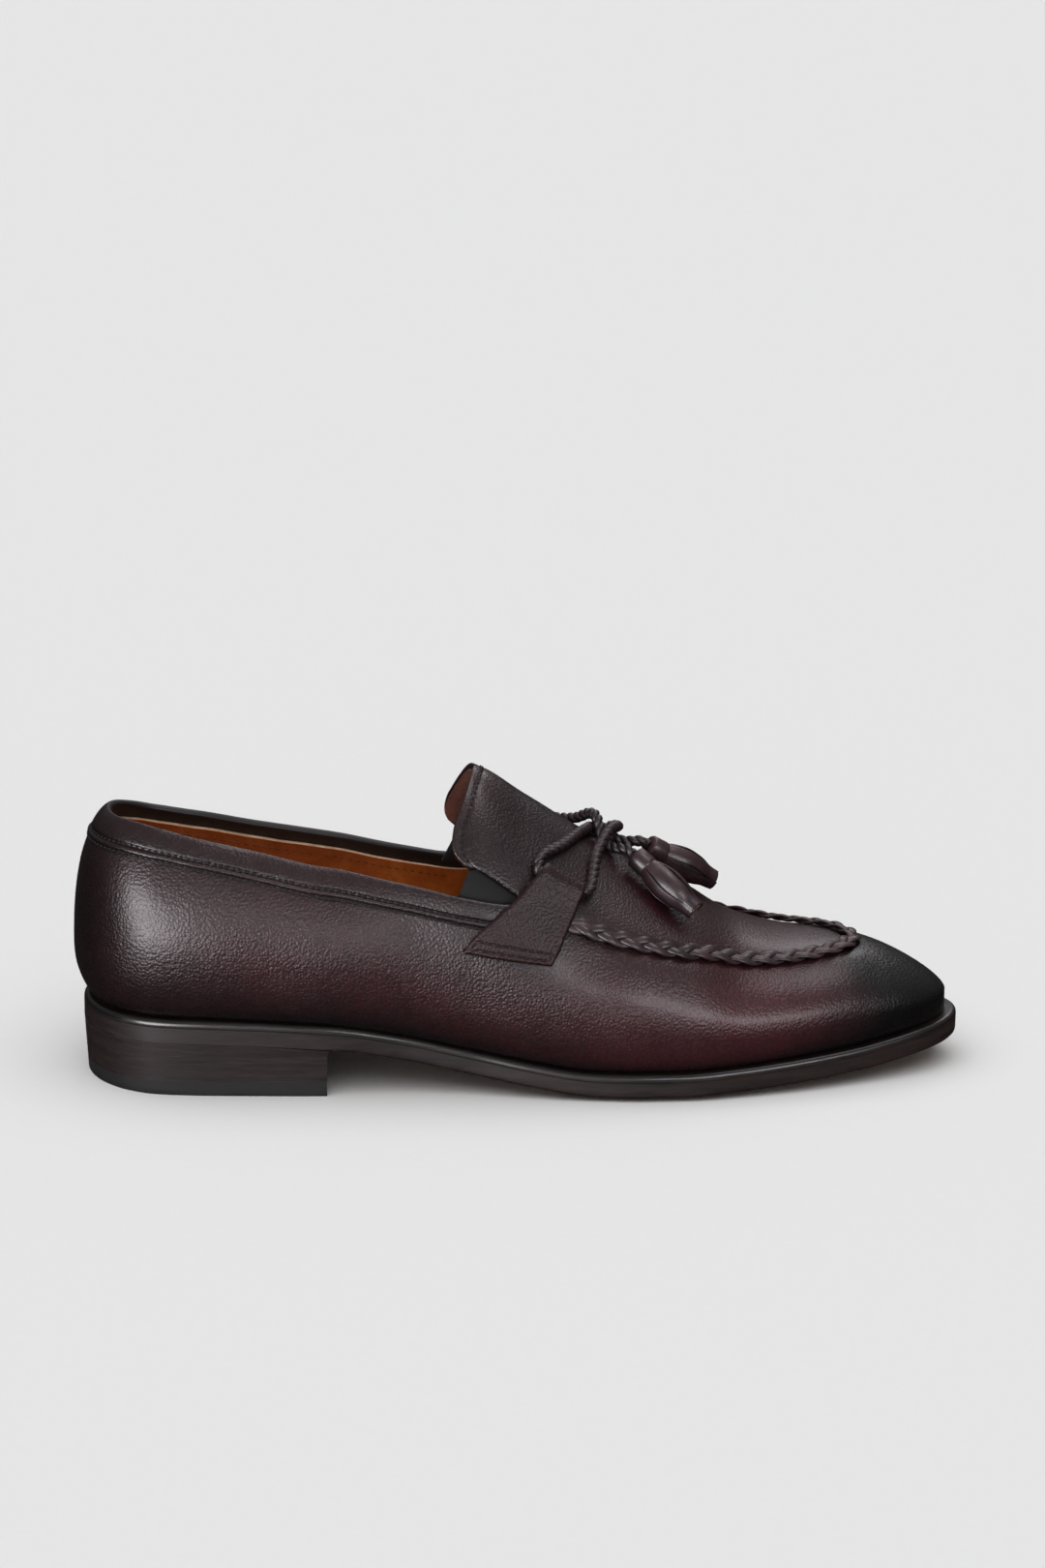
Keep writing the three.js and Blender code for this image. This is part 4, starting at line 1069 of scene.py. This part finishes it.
def carried(line, first):
    """Sideways directions along a line that turn no more than the line does."""
    along = directions(line)
    side = (first - along[0] * first.dot(along[0])).normalized()
    sides = [side]
    for before, after in zip(along, along[1:]):
        side = before.rotation_difference(after) @ side
        side = (side - after * side.dot(after)).normalized()
        sides.append(side)
    return sides


def line_length(line):
    return sum((b - a).length for a, b in zip(line, line[1:]))


def around(along, side, turn):
    """The direction at a turn round a line, from its sideways direction."""
    return side * math.cos(turn) + along.cross(side) * math.sin(turn)


def add_strand(bm, corners, length, place):
    """A closed strand: a ring of corners at each point of its line, with capped ends."""
    part = bmesh.new()
    patch(part, spaced(0, 1, corners), list(range(length)), place)
    weld(part, 0.001)
    close_holes(part)
    join(bm, part)


def join(bm, part):
    """Adds a part's mesh to a bmesh, and frees the part."""
    bmesh.ops.recalc_face_normals(part, faces=part.faces[:])
    mesh = mesh_of(part, "part")
    bm.from_mesh(mesh)
    bpy.data.meshes.remove(mesh)


def stitches(bm, line, outs, pitch, length, width):
    """A row of stitches on a line: a rounded bar of thread for each."""
    even = resampled(line, 0.25)
    tree = tree_of(line)
    along = directions(even)
    count = int(line_length(even) / pitch)
    for n in range(count):
        i = round((n + 0.5) / count * (len(even) - 1))
        out = outs[tree.find(even[i])[1]]
        across = out.cross(along[i]).normalized()
        turn = Matrix((along[i] * length, across * width, along[i].cross(across) * width * 0.9)).transposed()
        bmesh.ops.create_uvsphere(bm, u_segments=6, v_segments=5, radius=0.5,
                                  matrix=Matrix.Translation(even[i]) @ turn.to_4x4())


def collar_row(bm, down, lift, ends, **how):
    line, outs = [], []
    for s in spaced(-ends, ends, 200):
        side, step = signed_place(s)
        share = share_at_height(side, step, collar_height(side, step) - down * band_narrows(s))
        line.append(last_point(side, step, share, lift))
        outs.append(outwards(side, step, share))
    stitches(bm, line, outs, **how)


def tongue_row(bm, inset, **how):
    """Stitches round the tongue's free edge, inset from it."""
    for side in (OUTER, INNER):
        places = [tongue_place(side, up, 1 - inset / (SOLE_LENGTH * tongue.back(up)))
                  for up in spaced(0.03, 1, 40)]
        stitches(bm, [last_point(*place) for place in places], [outwards(*place) for place in places], **how)


def tab_box(bm, side):
    """The box of stitching that holds a tab's base: two rows along it and one up each side."""
    def seam(places, pitch):
        line = [tab_face(side, up, along) for along, up in places]
        out = outwards(side, step_at(lerp(tab.back(0.1), tab.front(0.1), 0.5)), 0.4)
        stitches(bm, line, [out] * len(line), pitch=pitch, length=pitch * 0.62, width=0.75)

    low, high = (row / TAB_RISE for row in TAB_ROWS)
    for up in (low, high):
        seam([(along, up) for along in spaced(0.065, 0.93, 30)], 2.7)
    for along in (0.062, 0.93):
        seam([(along, up) for up in spaced(low, high, 8)], 2.2)


def make_stitching():
    bm = bmesh.new()
    for down, length in zip(BAND_ROWS, (1.35, 1.4)):
        collar_row(bm, down, 0.5, THROAT_STEP + 0.2, pitch=2.2, length=length, width=0.85)
    tongue_row(bm, TONGUE_ROW, pitch=2.3, length=1.45, width=0.75)
    for side in (OUTER, INNER):
        tab_box(bm, side)
    finished(bm, "upper_stitching", [thread])
    bm = bmesh.new()
    collar_row(bm, 8.2, -3.4, THROAT_STEP - 2.6, pitch=2.8, length=1.8, width=0.5)
    finished(bm, "lining_stitching", [tan_thread])


make_stitching()

# The braid: three strips plaited flat, each swinging over and under the others. It starts and ends under the
# saddle tabs, where it is pressed flat. These are its period, its swing to each side, its strips' width and
# thickness in millimetres, and how far the apron's line runs on under the tabs.
PLAIT_PERIOD = 24
PLAIT_WIDE = 1.75
STRIP_WIDTH = 3
STRIP_THICK = 1.3
UNDER_TABS = 0.022


def rounded(part):
    """A coordinate on the strip's section, which is flatter than a circle."""
    return math.copysign(abs(part) ** 0.8, part)


def make_braid():
    line = resampled(apron_line(-UNDER_TABS, 1 + UNDER_TABS, 280), 0.6)
    along = directions(line)
    total = line_length(line)
    frames = []
    for point, run in zip(line, along):
        across = leather_at(point.x, point.y)[1].cross(run).normalized()
        frames.append((across, run.cross(across)))
    bm = bmesh.new()
    for strand in range(3):
        centres = []
        for i, (point, (across, upright)) in enumerate(zip(line, frames)):
            run = total * i / (len(line) - 1)
            turn = TURN * (run / PLAIT_PERIOD + strand / 3)
            free = smoothstep(min(run, total - run), 2, 7)
            height = 0.45 + (0.65 + 0.65 * math.sin(2 * turn)) * lerp(0.3, 1, free)
            centres.append(point + across * (PLAIT_WIDE * math.sin(turn)) + upright * height)
        runs = directions(centres)

        def place(u, i, centres=centres, runs=runs):
            wide = frames[i][1].cross(runs[i]).normalized()
            up = runs[i].cross(wide)
            x, z = math.cos(TURN * u), math.sin(TURN * u)
            crown = 1 - 0.35 * abs(x) if z > 0 else 1
            return (centres[i] + wide * (rounded(x) * STRIP_WIDTH / 2)
                    + up * (rounded(z) * crown * STRIP_THICK / 2))

        add_strand(bm, 14, len(centres), place)
    finished(bm, "braid_plait", [strip_leather], ["braid"])


make_braid()

# The tassels' axes and the cord's route: places along and across the shoe as shares of the sole's length and
# the ball width, with heights above the leather in skirt radii for a tassel and in diameters for the cord.
# In a tab's fold the cord's places are shares across the tab.
TASSEL_OUTER = ((0.611, -0.056, 0.98), (0.672, -0.181, 1.09))
TASSEL_INNER = ((0.631, 0.093, 0.98), (0.7, 0.155, 1.05))
CORD_TO_INNER_TAB = (
    (0.5935, -0.0150, 0.62), (0.5860, 0.0060, 0.60), (0.5785, 0.0280, 0.92), (0.5728, 0.0480, 1.50),
    (0.5680, 0.0760, 1.76), (0.5635, 0.1120, 1.50), (0.5570, 0.1580, 0.85), (0.5440, 0.2030, 0.58),
    (0.5260, 0.2370, 0.58), (0.5060, 0.2600, 0.66),
)
CORD_OVER_KNOT = (
    (0.5615, 0.3130, 0.62), (0.5690, 0.2742, 0.58), (0.5775, 0.2227, 0.58), (0.5860, 0.1800, 0.85),
    (0.5930, 0.1350, 1.50), (0.5955, 0.0900, 1.78), (0.5905, 0.0480, 1.87), (0.5835, 0.0080, 1.80),
    (0.5775, -0.0400, 1.35), (0.5735, -0.0900, 0.72), (0.5700, -0.1450, 0.58), (0.5668, -0.1980, 0.58),
    (0.5615, -0.2430, 0.62),
)
CORD_TO_INNER_TASSEL = (
    (0.5053, -0.2350, 0.66), (0.5103, -0.2050, 0.60), (0.5215, -0.1739, 0.58), (0.5339, -0.1350, 0.58),
    (0.5444, -0.0902, 0.58), (0.5543, -0.0371, 0.58), (0.5635, 0.0180, 0.58), (0.5715, 0.0760, 0.58),
    (0.5830, 0.1040, 0.58), (0.5960, 0.1050, 0.60), (0.6090, 0.0960, 0.76),
)
# The straight neck at each tassel, and the cord's height, places and lift in a tab's fold
CORD_NECK = 3
FOLD_PLACE = 0.905
FOLD_RUN = (0.09, 0.36, 0.64, 0.91)
FOLD_LIFT = COLLAR_STEP + GAP + CORD * 0.54


def above_leather(place, unit):
    along, across, height = place
    point, out = leather_over(along, across)
    return point + out * (unit * height)


def tassel_axis(ends):
    start, end = (above_leather(place, SKIRT_DIAMETER / 2) for place in ends)
    return start, (end - start).normalized()


def cord_route():
    def free(places):
        return [above_leather(place, CORD) for place in places]

    def in_fold(side, run):
        return [tab_point(side, FOLD_PLACE, along, FOLD_LIFT) for along in run]

    (outer_head, outer_axis), (inner_head, inner_axis) = map(tassel_axis, (TASSEL_OUTER, TASSEL_INNER))
    return [outer_head, outer_head - outer_axis * CORD_NECK, *free(CORD_TO_INNER_TAB),
            *in_fold(INNER, FOLD_RUN), *free(CORD_OVER_KNOT), *in_fold(OUTER, FOLD_RUN[::-1]),
            *free(CORD_TO_INNER_TASSEL), inner_head - inner_axis * CORD_NECK, inner_head]


# The length of one turn of the plies, a ply's radius and how far it lies off the cord's middle line
PLY_LAY = 5.9
PLY_RADIUS = 1.28
PLY_OFFSET = 0.74


def twisted(bm, line):
    """Two plies of round leather lace laid round each other."""
    sides = carried(line, Vector((0, 0, 1)))
    along = directions(line)
    total = line_length(line)
    for ply in range(2):
        centres = []
        for i, point in enumerate(line):
            turn = TURN * (total * i / (len(line) - 1) / PLY_LAY + ply / 2)
            centres.append(point + around(along[i], sides[i], turn) * PLY_OFFSET)
        runs = list(zip(centres, directions(centres), carried(centres, Vector((0, 0, 1)))))

        def place(u, i, runs=runs):
            centre, run, side = runs[i]
            return centre + around(run, side, TURN * u) * PLY_RADIUS

        add_strand(bm, 10, len(centres), place)


def make_cord():
    line = smooth_line(cord_route(), 0.6)
    bm = bmesh.new()
    twisted(bm, line)
    return finished(bm, "tied_cord", [lace_leather], ["cord"]), line


# A tassel's cap, as distances along its axis and radii, and the strips of its skirt: how many in a layer, the
# layers' sizes, and the leather's thickness
CAP = [(0, 0.01), (0, 2.9), (.25, 3.55), (.8, 3.9), (3.2, 3.95), (5.6, 4.0), (6.4, 3.9), (6.95, 3.5),
       (7.1, 2.4), (7.1, 0.01)]
STRIPS = 5
STRIP_LAYERS = (1.0, 0.84)
STRIP_WALL = 0.85


def turned(along, radius, angle):
    """A place round a tassel's axis."""
    return Vector((along, radius * math.cos(angle), radius * math.sin(angle)))


def verts_of(geometry):
    return [item for item in geometry if isinstance(item, bmesh.types.BMVert)]


def add_cap(bm):
    """A strip rolled up, whose end stands out as a step along the cap."""
    def place(u, i):
        along, radius = CAP[i]
        if 1 < i < 8:
            radius += 0.25 * bell(u - 0.8, 0.03) - 0.25 * bell(u - 0.83, 0.02)
        return turned(along, radius, TURN * u)

    part = bmesh.new()
    patch(part, spaced(0, 1, 40), list(range(len(CAP))), place)
    weld(part, 0.02)
    join(bm, part)


def add_strip(bm, layer, k):
    """One strip of the skirt, which swells out and closes in again. Between the swollen strips are slits."""
    def place(across, share):
        spread = 0.97 - 0.26 * math.sin(math.pi * clamp(share * 1.08)) ** 2
        angle = TURN * (k + layer * 0.5 + 0.35 + (across - 0.5) * spread) / STRIPS
        radius = SKIRT_DIAMETER / 2 * skirt.radius(share) * STRIP_LAYERS[layer] - 0.3 * layer
        radius -= 0.05 * (2 * abs(across - 0.5)) ** 4 * math.sin(math.pi * share)
        length = SKIRT_LENGTH * (1 - 0.02 * ((k * 7) % 3))
        return turned(CAP_LENGTH - 0.4 + length * share, radius, QUARTER - angle)

    part = bmesh.new()
    # The inner layer of strips takes the plaited strip leather, a little darker, as painted shade in the
    # slits between the outer strips
    patch(part, spaced(0, 1, 12), spaced(0, 1, 26), place, finish=2 * layer)
    bmesh.ops.recalc_face_normals(part, faces=part.faces[:])
    for vert in verts_of(bmesh.ops.extrude_face_region(part, geom=part.faces[:])["geom"]):
        vert.co.y *= 1 - STRIP_WALL / max(vert.co.yz.length, 1)
        vert.co.z *= 1 - STRIP_WALL / max(vert.co.yz.length, 1)
    join(bm, part)


def add_core(bm):
    """The rolled core, whose coils show at the skirt's end."""
    rim_radius = SKIRT_DIAMETER / 2 * skirt.radius(1) - 0.75

    def place(u, v):
        curl = 0.4 * math.sin(10 * math.pi * v) * (1 - v)
        return turned(CAP_LENGTH + SKIRT_LENGTH - 0.7 + curl, rim_radius * v, TURN * u)

    part = bmesh.new()
    patch(part, spaced(0, 1, 28), spaced(0.02, 1, 16), place, finish=1)
    weld(part, 0.02)
    rim = [edge for edge in part.edges if edge.is_boundary and edge.verts[0].co.yz.length > 1]
    for vert in verts_of(bmesh.ops.extrude_edge_only(part, edges=rim)["geom"]):
        vert.co.x = CAP_LENGTH - 0.5
    join(bm, part)


def make_tassel(ends, name, node):
    """A tassel: a rolled cap, a skirt of strips cut from one piece, and the rolled core between them."""
    head, axis = tassel_axis(ends)
    turn = Vector((1, 0, 0)).rotation_difference(axis).to_matrix().to_4x4()
    bm = bmesh.new()
    add_cap(bm)
    for layer in range(len(STRIP_LAYERS)):
        for k in range(STRIPS):
            add_strip(bm, layer, k)
    add_core(bm)
    bmesh.ops.transform(bm, matrix=Matrix.Translation(head + axis * GAP) @ turn, verts=bm.verts[:])
    return finished(bm, name, [tassel_leather, tassel_core, strip_leather], [node])


tassels = [make_tassel(TASSEL_OUTER, "tassel_outer_leather", "tassel_outer"),
           make_tassel(TASSEL_INNER, "tassel_inner_leather", "tassel_inner")]
cord, cord_line = make_cord()
to_metres(cord_line[0])
line_length(cord_line) * MM
[to_metres(p) for p in cord_line]


# The sole and the heel


def sole_piece(name, rows, materials, node):
    """A layer of the sole. Each row is a line round it: its inset from the outline, the level it follows, how
    far above that it lies, and the material up to the next row. Its first and last rows are on the middle
    line."""
    bm = bmesh.new()

    def place(k, i):
        side, step = ring_place(k)
        inset, level, rise, _ = rows[i]
        if inset is None:
            p = (sole_line(OUTER, step) + sole_line(INNER, step)) / 2
            p.x = clamp(p.x, TREAD_INSET + 2, SOLE_LENGTH - TREAD_INSET - 2)
        else:
            p = outline(side, step, inset(station_at(step)) if callable(inset) else inset)
        return Vector((p.x, p.y, level(clamp(p.x / SOLE_LENGTH)) + rise))

    patch(bm, ring_of(spaced(0, STEPS, STEPS * 4)), list(range(len(rows))), place)
    layer = bm.loops.layers.uv.active
    for face in bm.faces:
        row = int(min(loop[layer].uv.y for loop in face.loops))
        face.material_index = rows[row][3]
    weld(bm)
    finished(bm, name, materials, [node], closed=True)


def softened(inset):
    """An edge that is softened in front of the heel and flush over it."""
    return lambda at: inset * smoothstep(at, 0.27, 0.3)


def insole_inset(more=0):
    return lambda at: ledge(at) + WALL + 2 * GAP + more


def make_sole():
    """The outsole with a line cut round its tread, and the welt with its bevelled upper edge."""
    sole_piece("outsole_leather", [
        (None, underside, 0, 1), (TREAD_INSET, underside, 0, 1), (6.6, edge_underside, -0.45, 1),
        (6.1, edge_underside, 0, 1), (5.6, edge_underside, -0.35, 1), (1.2, edge_underside, 0, 0),
        (softened(0.45), edge_underside, 0.12, 0), (softened(0.1), edge_underside, 0.5, 0),
        (0, edge_underside, 1.1, 0), (0, edge_underside, OUTSOLE / 2, 0), (0, outsole_top, GAP, 0),
        (3, outsole_top, GAP, 0), (None, outsole_top, 0, 0),
    ], [sole_edge, tread_leather], "outsole")
    sole_piece("welt_leather", [
        (None, midsole_bottom, 0, 0), (3, midsole_bottom, -0.2, 0), (0.2, midsole_bottom, -0.2, 0),
        (0, midsole_bottom, 0.1, 0), (0, midsole_bottom, 0.9, 1), (0.15, midsole_top, -1.1, 1),
        (0.55, midsole_top, -0.45, 1), (1.1, midsole_top, -0.08, 1), (1.6, midsole_top, 0, 1),
        (lambda at: ledge(at) + 0.3, midsole_top, 0.02, 1), (8, midsole_top, 0, 0), (None, midsole_top, 0, 0),
    ], [sole_edge, welt_edge], "welt")


def make_insole():
    """The sock: leather over a thin pad, with a soft rolled edge."""
    sole_piece("sock_lining", [
        (None, upper_bottom, 0, 0), (insole_inset(), upper_bottom, 0, 0),
        (insole_inset(), upper_bottom, INSOLE - 0.8, 0), (insole_inset(0.3), upper_bottom, INSOLE - 0.25, 0),
        (insole_inset(1), upper_bottom, INSOLE, 0), (insole_inset(7), upper_bottom, INSOLE - 0.3, 0),
        (None, upper_bottom, INSOLE - 0.5, 0),
    ], [sock], "insole")


make_sole()
make_insole()

# The heel's front end on the steps, and the cove under the sole in front of it: its reach and its height
BREAST_STEP = step_at(HEEL_LENGTH / SOLE_LENGTH)
COVE_REACH = 1.7
COVE_HEIGHT = 2.2


def heel_point(k, inset, height, fillet=0.0):
    """A place round the heel: k is 0 to 1 up the outer side, to 2 across the breast and to 3 down the inner
    side."""
    if k <= 1:
        p = outline(OUTER, k * BREAST_STEP, inset)
    elif k >= 2:
        p = outline(INNER, (3 - k) * BREAST_STEP, inset)
    else:
        share = k - 1
        p = outline(OUTER, BREAST_STEP, inset).lerp(outline(INNER, BREAST_STEP, inset), share)
        p.x += fillet - BREAST_HOLLOW * 4 * share * (1 - share)
    if k <= 1 or k >= 2:
        p.x += fillet * smoothstep(p.x, HEEL_LENGTH - 1.5, HEEL_LENGTH)
    return Vector((p.x, p.y, height(clamp(p.x / SOLE_LENGTH))))


def heel_layer(name, bottom, top, material, node, teeth=0.0):
    """A lift of the heel, flush with its neighbours. The rubber has fine teeth round its lower back edge."""
    bm = bmesh.new()
    is_top = top > HEEL_RISE - 1

    def row_of(share):
        def height(at):
            roof = underside(at) + 0.05 if is_top else min(top, underside(at) + 0.05)
            return lerp(bottom, roof, share)
        level = lerp(bottom, top, share)
        fillet = COVE_REACH * max(0, 1 - (HEEL_RISE - level) / COVE_HEIGHT) ** 2 if is_top else 0.0
        rounding = 0.12 if teeth and share == 0 else 0.0
        return HEEL_TAPER * (1 - level / HEEL_RISE) + rounding, height, fillet

    rows = [row_of(share) for share in (0, 0.08, 0.3, 0.5, 0.7, 0.85, 1)]
    count = 180 if teeth else 60
    around = spaced(0, 1, count) + spaced(1, 2, 16)[1:] + spaced(2, 3, count)[1:]

    def place(k, i):
        inset, height, fillet = rows[i]
        if teeth and i < 2:
            behind = 1 - smoothstep(min(k, 3 - k), 0.45, 0.6)
            inset += teeth * behind * (round(min(k, 3 - k) * count) % 2)
        return heel_point(k, inset, height, fillet)

    patch(bm, around, list(range(len(rows))), place)
    weld(bm)
    close_holes(bm)
    finished(bm, name, [material], [node], closed=True)


def make_heel():
    heel_layer("heel_rubber_top_piece", 0, TOP_PIECE, rubber, "heel_top_piece", 0.35)
    thickness = (HEEL_RISE - TOP_PIECE) / LIFTS
    for lift in range(LIFTS):
        bottom = TOP_PIECE + lift * thickness
        heel_layer(f"heel_leather_lift_{lift + 1}", bottom, bottom + thickness, sole_edge,
                   f"heel_lift_{lift + 1}")


make_heel()


# Floor and light


def make_floor():
    material, tree, shader = new_material("studio_floor_paper")
    where = add_node(tree, "TexCoord", "Object")
    speck = add_node(tree, "TexNoise", "Fac", {}, {"Vector": where, "Scale": 300, "Detail": 2})
    tone = add_node(tree, "Mix", 2, BLEND, {0: speck, 6: "#e7e7e7", 7: "#e9e9e9"})
    finish_shader(tree, shader, tone, 0.9, (0, 0, 0), Specular_IOR_Level=0.0)
    bm = bmesh.new()
    bmesh.ops.create_grid(bm, x_segments=4, y_segments=4, size=30)
    mesh = mesh_of(bm, "studio_floor")
    mesh.materials.append(material)
    floor = placed("studio_floor", mesh)
    floor.visible_glossy = False


def make_sky():
    """A white sky that is brightest overhead."""
    world = bpy.data.worlds.new("studio_sky")
    world.use_nodes = True
    tree = world.node_tree
    up = add_node(tree, "SeparateXYZ", "Z", {}, {"Vector": add_node(tree, "TexCoord", "Generated")})
    sky = add_node(tree, "MapRange", 0, {"interpolation_type": "SMOOTHSTEP"},
                   {"Value": up, 1: -0.1, 2: 0.9, 3: 0.02, 4: 0.26})
    tree.links.new(sky, tree.nodes["Background"].inputs["Strength"])
    tree.nodes["Background"].inputs["Color"].default_value = linear("#ffffff")
    bpy.context.scene.world = world


def make_panel(name, place, size, power):
    """A soft panel that only the gloss picks up."""
    data = bpy.data.lights.new(name, "AREA")
    data.shape = "RECTANGLE"
    data.size, data.size_y = size
    data.energy = power
    data.color = (1, 0.96, 1)
    light = placed(name, data)
    light.location = place
    light.rotation_mode = "QUATERNION"
    light.rotation_quaternion = (Vector((0.1, 0, 0.05)) - Vector(place)).to_track_quat("-Z", "Y")
    light.visible_diffuse = False


def make_sun(name, power, spread, turn):
    """A wide soft sun that the gloss leaves out."""
    data = bpy.data.lights.new(name, "SUN")
    data.energy = power
    data.angle = math.radians(spread)
    sun = placed(name, data)
    sun.visible_glossy = False
    sun.rotation_euler = (math.radians(turn[0]), math.radians(turn[1]), 0)


make_floor()
make_sky()
make_panel("panel_left", (-0.88, -1.38, 0.2), (1.15, 0.75), 41)
make_panel("panel_right", (0.95, -1.6, 0.72), (1.2, 0.36), 15)
make_panel("panel_top", (0.55, 0.1, 1.4), (0.8, 0.4), 5)
make_panel("panel_back", (0.5, 1.6, 1.3), (1.2, 0.5), 7)
make_sun("even_sun", 2.36, 90, (12, -8))
make_sun("front_sun", 0.45, 60, (75, -12))
bpy.context.scene.view_settings.view_transform = "Standard"
